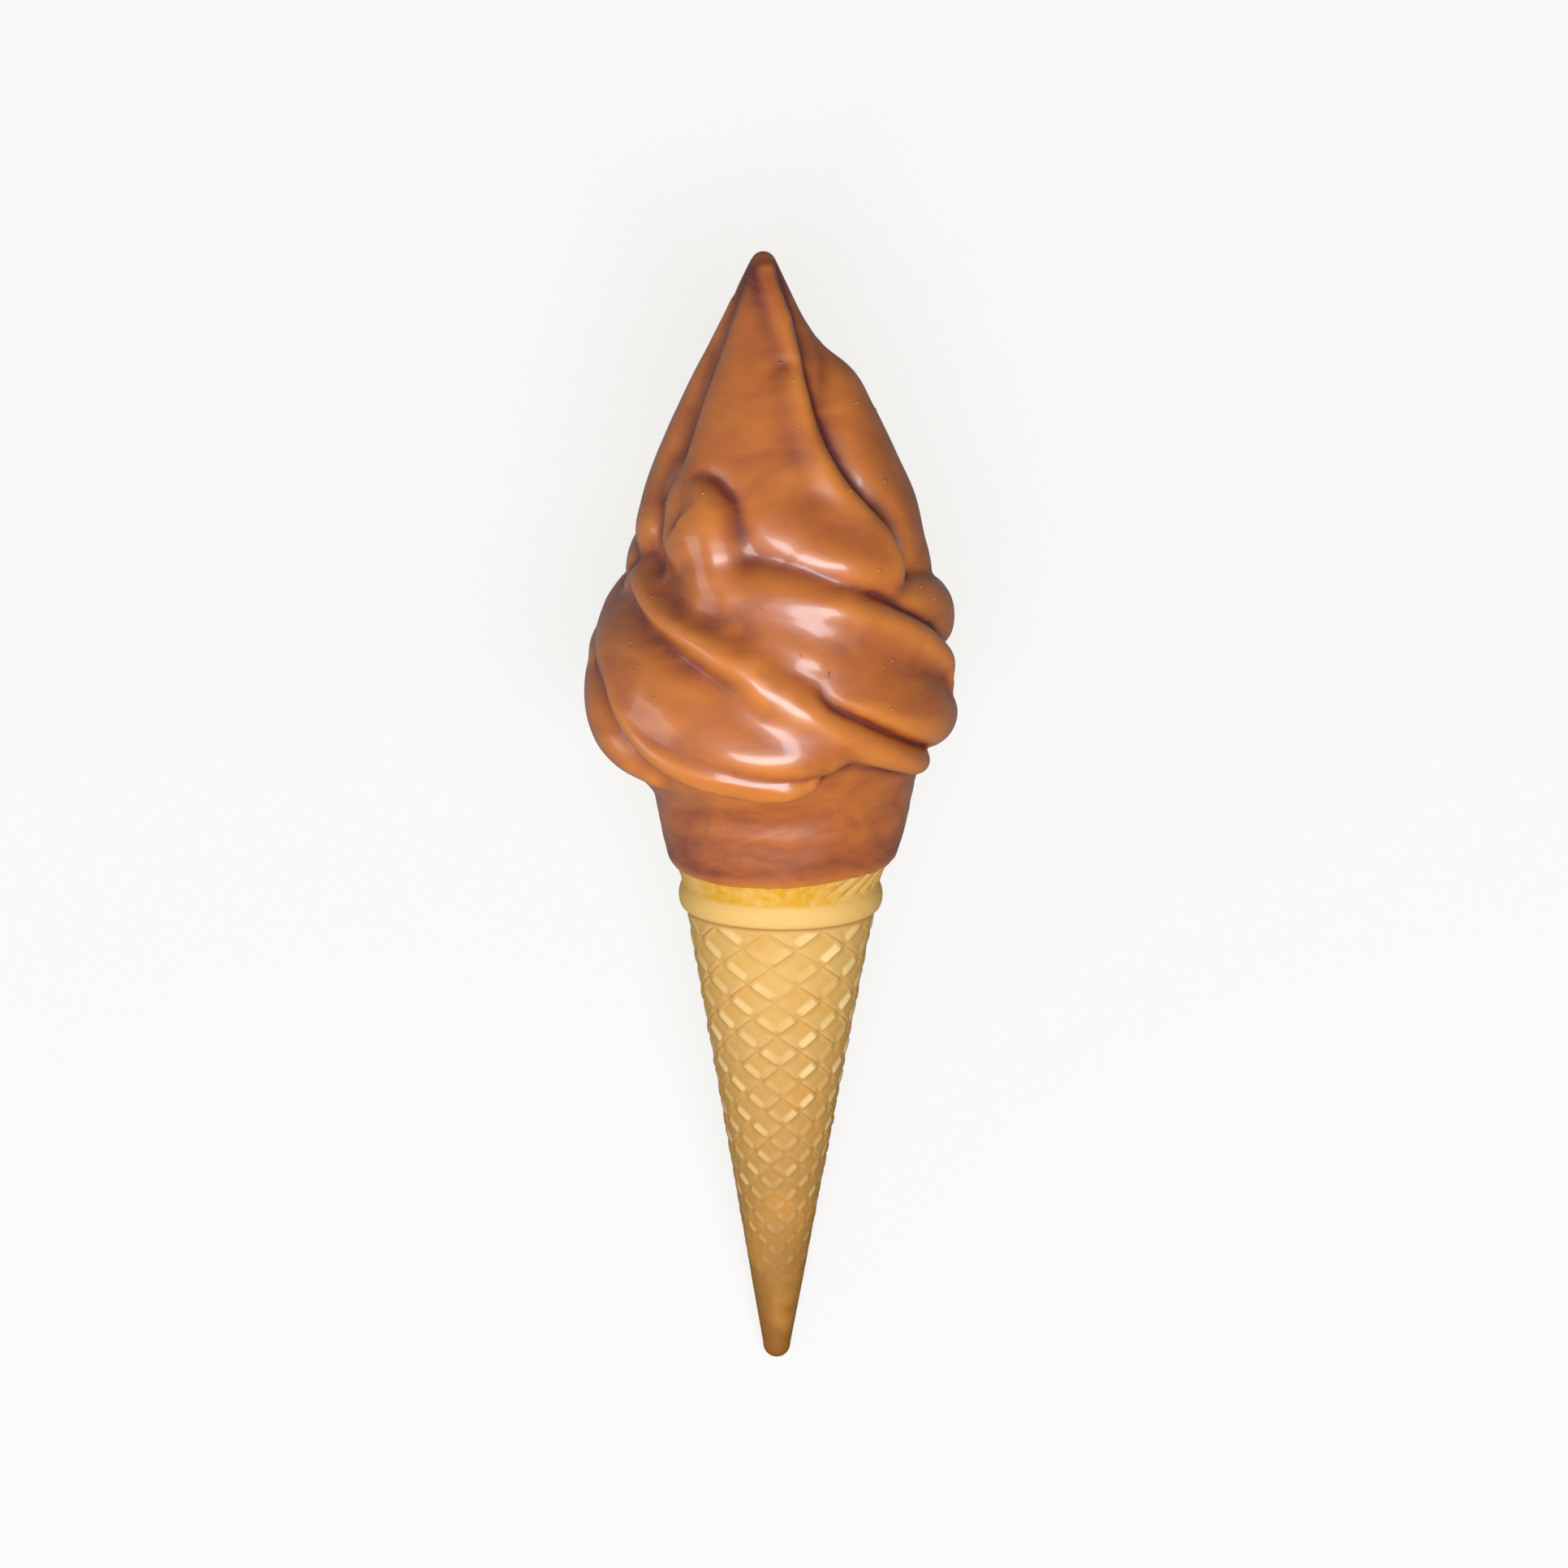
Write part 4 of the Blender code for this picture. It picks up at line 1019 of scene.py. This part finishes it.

    # Painted shade: the lattice's crease lines, the flutes and the line under the ring
    crease_shade_line = add(tree, MATH, crease_shade_lines, operation="MAXIMUM")
    crease_shade_line = add(tree, MATH, (crease_shade_line, inside), operation="MULTIPLY")
    groove = add(tree, MATH, (groove, under_ring), operation="MAXIMUM")
    pale_and_lit_facet = add(tree, MATH, pale_and_lit_facets, operation="MAXIMUM")
    return {
        "height": height,
        "sink": add(tree, MATH, (sink, flute), operation="ADD"),
        "pale_and_lit_facet": add(tree, MATH, (pale_and_lit_facet, inside), operation="MULTIPLY"),
        "crease_and_shade": add(tree, MATH, (crease_shade_line, groove), operation="MAXIMUM"),
        "porous": add(tree, MATH, (porous, in_front), operation="MULTIPLY"),
    }


def wafer_tree():
    """Presses the mould's pattern into the turned wafer, which keeps where each place was before that."""
    tree, given = new_tree("moulded_wafer", WAFER_SIZES)
    place = add(tree, "GeometryNodeInputPosition")
    before = {"Geometry": given["Geometry"], "Name": "upright", "Value": place}
    kept = add(tree, "GeometryNodeStoreNamedAttribute", before, data_type="FLOAT_VECTOR")
    pattern = wafer_pattern(tree, place, given)
    outward = add(tree, "ShaderNodeVectorMath", (place, (1.0, 1.0, 0.0)), operation="MULTIPLY")
    outward = add(tree, "ShaderNodeVectorMath", (outward,), operation="NORMALIZE")
    inward = add(tree, MATH, (pattern["sink"], -1.0), operation="MULTIPLY")
    offset = add(tree, "ShaderNodeVectorMath", {"Vector": outward, "Scale": inward}, operation="SCALE")
    shape = add(tree, "GeometryNodeSetPosition", {"Geometry": kept, "Offset": offset})
    end_tree(tree, shape, given["Material"])
    return tree


# ------------------------------ finishes

# Sizes of the patterns in the finishes, in mm
STREAK_SIZE = 16.67  # slow changes of tone in the coat
STREAK_SQUEEZE = 1.9  # how much shorter they are along the cone than across it
RIPPLE_SIZE = 3.85
PINHOLE_SPACING = 6.25
PATCH_SIZE = 9.09  # toasted patches of the wafer
PORE_SIZE = 2.38
GRAIN_SIZE = 0.667  # real batter has a finer grain, which is drawn as coarse as it needs to show


def scale_for(size):
    """The scale of a pattern of a size in millimetres, where places are in metres."""
    return 1 / (size * MM)


def new_material(name):
    material = bpy.data.materials.new(name)
    material.use_nodes = True
    return material, material.node_tree, material.node_tree.nodes["Principled BSDF"].inputs


def milk_chocolate_coat():
    """Caramel-coloured milk chocolate that was poured and set: smooth and half glossy, a little see-through
    at the surface, darker where the coat is thicker and with painted shade in its hollows, at the peak and
    in its pinholes, which are about half a millimetre across.
    """
    material, tree, shader = new_material("poured_milk_chocolate")
    place = add(tree, "ShaderNodeTexCoord", output="Object")
    thickness = add(tree, "ShaderNodeAttribute", output="Fac", attribute_name="thickness")
    drawn = add(tree, "ShaderNodeMapping", {"Vector": place, "Scale": (1.0, STREAK_SQUEEZE, 1.0)})
    streaks = {"Vector": drawn, "Scale": scale_for(STREAK_SIZE), "Detail": 4.0, "Distortion": 0.8}
    tone = add(tree, "ShaderNodeTexNoise", streaks)
    tone = add(tree, RANGE, (tone, 0.3, 0.7, -0.2, 0.2))
    thickness = add(tree, MATH, (thickness, tone), operation="ADD")
    middling = add(tree, RANGE, (thickness, 0.0, 0.5, 0.0, 1.0))
    thick_and_shaded = add(tree, RANGE, (thickness, 0.5, 1.0, 0.0, 1.0))

    # One cell in five has a pinhole, which fades out from 0.03 to 0.055 of the spacing from its middle; its
    # dark colour is painted shade in the pit
    spaced = {"Vector": place, "Scale": scale_for(PINHOLE_SPACING)}
    cells = add(tree, "ShaderNodeTexVoronoi", spaced, output=None).outputs
    pinhole_and_shade = add(tree, RANGE, (cells["Distance"], 0.03, 0.055, 1.0, 0.0))
    luck = add(tree, "ShaderNodeSeparateColor", (cells["Color"],), output="Red")
    luck = add(tree, MATH, (luck, 0.8), operation="GREATER_THAN")
    pinhole_and_shade = add(tree, MATH, (pinhole_and_shade, luck), operation="MULTIPLY")

    # The middling and thick tones are thicker coat with painted shade in hollows and at the peak; the
    # pinholes' dark is painted shade
    colour = linear("#ce772b")
    for share, over in ((middling, "#ae5b20"), (thick_and_shaded, "#6c2003"), (pinhole_and_shade, "#5d2c12")):
        colours = {0: share, 6: colour, 7: linear(over)}
        colour = add(tree, "ShaderNodeMix", colours, output=2, data_type="RGBA")
    tree.links.new(colour, shader["Base Color"])

    fine = {"Vector": place, "Scale": scale_for(RIPPLE_SIZE), "Detail": 2.0}
    ripple = add(tree, "ShaderNodeTexNoise", fine)
    depth = add(tree, MATH, (pinhole_and_shade, -0.6), operation="MULTIPLY")
    relief = add(tree, MATH, (ripple, 0.12, depth), operation="MULTIPLY_ADD")
    bump = {"Strength": 0.35, "Distance": 0.3 * MM, "Height": relief}
    tree.links.new(add(tree, "ShaderNodeBump", bump), shader["Normal"])
    rough = add(tree, RANGE, (thickness, 0.35, 0.85, 0.38, 0.6))
    tree.links.new(rough, shader["Roughness"])
    shader["Coat Weight"].default_value = 0.38
    shader["Coat Roughness"].default_value = 0.14
    shader["IOR"].default_value = 1.56
    shader["Subsurface Weight"].default_value = 0.08
    shader["Subsurface Radius"].default_value = (1.0, 0.45, 0.18)
    shader["Subsurface Scale"].default_value = 2.2 * MM
    return material


def baked_wafer():
    """Moulded wafer batter baked to a matt golden shell: toasted in patches and toward the tip, pale on the
    slanted faces of the bars with a painted highlight there, with painted shade in the creases, in the
    flutes and under the ring, a fine grain and a porous band on the collar.
    """
    material, tree, shader = new_material("baked_wafer_batter")
    place = add(tree, "ShaderNodeTexCoord", output="Object")
    upright = add(tree, "ShaderNodeAttribute", output="Vector", attribute_name="upright")
    pattern = wafer_pattern(tree, upright, WAFER_SIZES)
    along = add(tree, RANGE, (pattern["height"], 5.0, 85.0, 0.0, 1.0))
    patches = {"Vector": place, "Scale": scale_for(PATCH_SIZE), "Detail": 3.0}
    patch = add(tree, "ShaderNodeTexNoise", patches)
    patch = add(tree, RANGE, (patch, 0.5, 0.75, 0.0, 0.5))
    # The pale faces are partly the batter's own paler bake and partly a painted highlight
    pale_and_lit = add(tree, MATH, (pattern["pale_and_lit_facet"], 0.66), operation="MULTIPLY")
    on_ring = add(tree, RANGE, (pattern["height"], RING_FOOT + 0.2, RING_FOOT + 0.8, 0.0, 0.75))
    pores = {"Vector": place, "Scale": scale_for(PORE_SIZE), "Detail": 4.0}
    pore = add(tree, "ShaderNodeTexNoise", pores)
    band = add(tree, RANGE, (pore, 0.3, 0.6, 0.35, 1.0))
    band = add(tree, MATH, (band, pattern["porous"]), operation="MULTIPLY")
    # Painted shade in the creases, the flutes and under the ring
    crease_shade_share = add(tree, MATH, (pattern["crease_and_shade"], 0.6), operation="MULTIPLY")

    colour = linear("#8b5617")
    for share, over in (
        (along, "#d4a355"),
        (patch, "#cd8e37"),
        (pale_and_lit, "#f6d592"),
        (on_ring, "#e6b866"),
        (band, "#d29616"),
        (crease_shade_share, "#9b6429"),
    ):
        colours = {0: share, 6: colour, 7: linear(over)}
        colour = add(tree, "ShaderNodeMix", colours, output=2, data_type="RGBA")
    tree.links.new(colour, shader["Base Color"])

    fine = {"Vector": place, "Scale": scale_for(GRAIN_SIZE), "Detail": 3.0}
    grain = add(tree, "ShaderNodeTexNoise", fine)
    relief = add(tree, MATH, (pore, band), operation="MULTIPLY")
    relief = add(tree, MATH, (relief, 3.0), operation="MULTIPLY")
    for height, share in ((grain, 0.5), (pattern["crease_and_shade"], -1.2), (pattern["pale_and_lit_facet"], 0.6)):
        relief = add(tree, MATH, (height, share, relief), operation="MULTIPLY_ADD")
    bump = {"Strength": 0.5, "Distance": 0.2 * MM, "Height": relief}
    tree.links.new(add(tree, "ShaderNodeBump", bump), shader["Normal"])
    shader["Roughness"].default_value = 0.62
    shader["IOR"].default_value = 1.35
    shader["Subsurface Weight"].default_value = 0.12
    shader["Subsurface Radius"].default_value = (1.0, 0.6, 0.25)
    shader["Subsurface Scale"].default_value = 2.0 * MM
    return material


def pale_floor():
    """A matt table that gives off most of its white itself, which keeps the shadow on it faint."""
    material, _, shader = new_material("lit_white_table")
    shader["Base Color"].default_value = linear("#5a5a59")
    shader["Emission Color"].default_value = linear("#fbf9f5")
    shader["Emission Strength"].default_value = 0.85
    shader["Roughness"].default_value = 0.9
    return material


# ------------------------------ pieces


def make_coat(finish):
    """The coat: an egg that settles on the swirl's form in finer and finer meshes, and then its relief."""
    obj = new_object("chocolate_coat", swirl_mesh())
    for size, passes in COAT_STAGES:
        modifier = obj.modifiers.new("remesh", "REMESH")
        modifier.mode = "VOXEL"
        modifier.voxel_size = size
        keep_result(obj)
        settle(obj, passes)
    smooth = obj.modifiers.new("smooth", "SMOOTH")
    smooth.iterations = 2
    keep_result(obj)
    settle(obj, 1)
    grow(obj, coat_relief_tree(), COAT_SIZES, finish)
    mark_thickness_and_shade(obj)
    return obj


def make_bubbles(coat, finish):
    obj = new_object("coat_bubbles", coat.data.copy())
    grow(obj, coat_bubbles_tree(), BUBBLE_SIZES, finish)
    return obj


def make_wafer(finish):
    obj = turned_wafer()
    grow(obj, wafer_tree(), WAFER_SIZES, finish)
    return obj


def show(obj, node):
    """Lays a piece down, and lets it stand for a node of the part."""
    lay_down(obj)
    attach(obj, "root")
    if node:
        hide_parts(node)


# ------------------------------ studio

SENSOR_WIDTH = 36.0
FRAME_WIDTH = 0.3284  # what the picture is wide at the object
CAMERA_DISTANCE = 9.0
PICTURE_MIDDLE = (0.0005, 0.1205, 0.045)  # from the end of the wafer's tip, on the table
ROLL = math.atan2(5, 574)  # the cone leans a little to the right in the picture
COOL_WHITE = (0.9, 0.96, 1.08)  # light of the lamps and of the room
LIT_PLACE = Vector((0, 0, 0.03))  # what the lamps point at
TABLE_SIZE = 4.0


def make_camera():
    """A camera that looks straight down on the cone from far off."""
    low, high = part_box("wafer_cone")
    camera = bpy.data.cameras.new("camera")
    camera.sensor_width = SENSOR_WIDTH
    camera.lens = SENSOR_WIDTH * CAMERA_DISTANCE / FRAME_WIDTH
    camera.clip_end = 20
    obj = new_object("camera", camera)
    right, up, height = PICTURE_MIDDLE
    obj.location = ((low.x + high.x) / 2 + right, low.y + up, CAMERA_DISTANCE + height)
    obj.rotation_euler = (0, 0, ROLL)
    bpy.context.scene.camera = obj


def make_light(name, place, size, power):
    light = bpy.data.lights.new(name, "AREA")
    light.shape = "RECTANGLE"
    light.size, light.size_y = size
    light.energy = power
    light.color = COOL_WHITE
    obj = new_object(name, light)
    obj.location = place
    obj.rotation_euler = (LIT_PLACE - Vector(place)).to_track_quat("-Z", "Y").to_euler()


def make_studio():
    """A room brighter on its left, a wide softbox overhead, a small panel on the left and a table."""
    world = bpy.data.worlds.new("white_room")
    world.use_nodes = True
    tree = world.node_tree
    way = add(tree, "ShaderNodeTexCoord", output="Generated")
    side = add(tree, "ShaderNodeSeparateXYZ", (way,), output="X")
    strength = add(tree, RANGE, (side, -0.9, 0.1, 0.36, 0.21), **SMOOTH)
    background = tree.nodes["Background"].inputs
    background["Color"].default_value = (*COOL_WHITE, 1)
    tree.links.new(strength, background["Strength"])
    bpy.context.scene.world = world
    make_light("softbox", place=(0.09, -0.42, 1.18), size=(1.25, 0.36), power=21)
    make_light("side_panel", place=(-1.1, -0.3, 0.4), size=(0.4, 0.4), power=1.6)
    maker = bmesh.new()
    bmesh.ops.create_grid(maker, x_segments=1, y_segments=1, size=TABLE_SIZE)
    floor = new_object("floor", end_mesh(maker, "floor"))
    floor.data.materials.append(pale_floor())
    floor.visible_glossy = False
    floor.visible_diffuse = False


bpy.context.scene.view_settings.view_transform = "Standard"
make_camera()
make_studio()
chocolate = milk_chocolate_coat()
coat = make_coat(chocolate)
bubbles = make_bubbles(coat, chocolate)
wafer = make_wafer(baked_wafer())
show(coat, "dipped_swirl")
show(bubbles, None)
show(wafer, "wafer_cone")
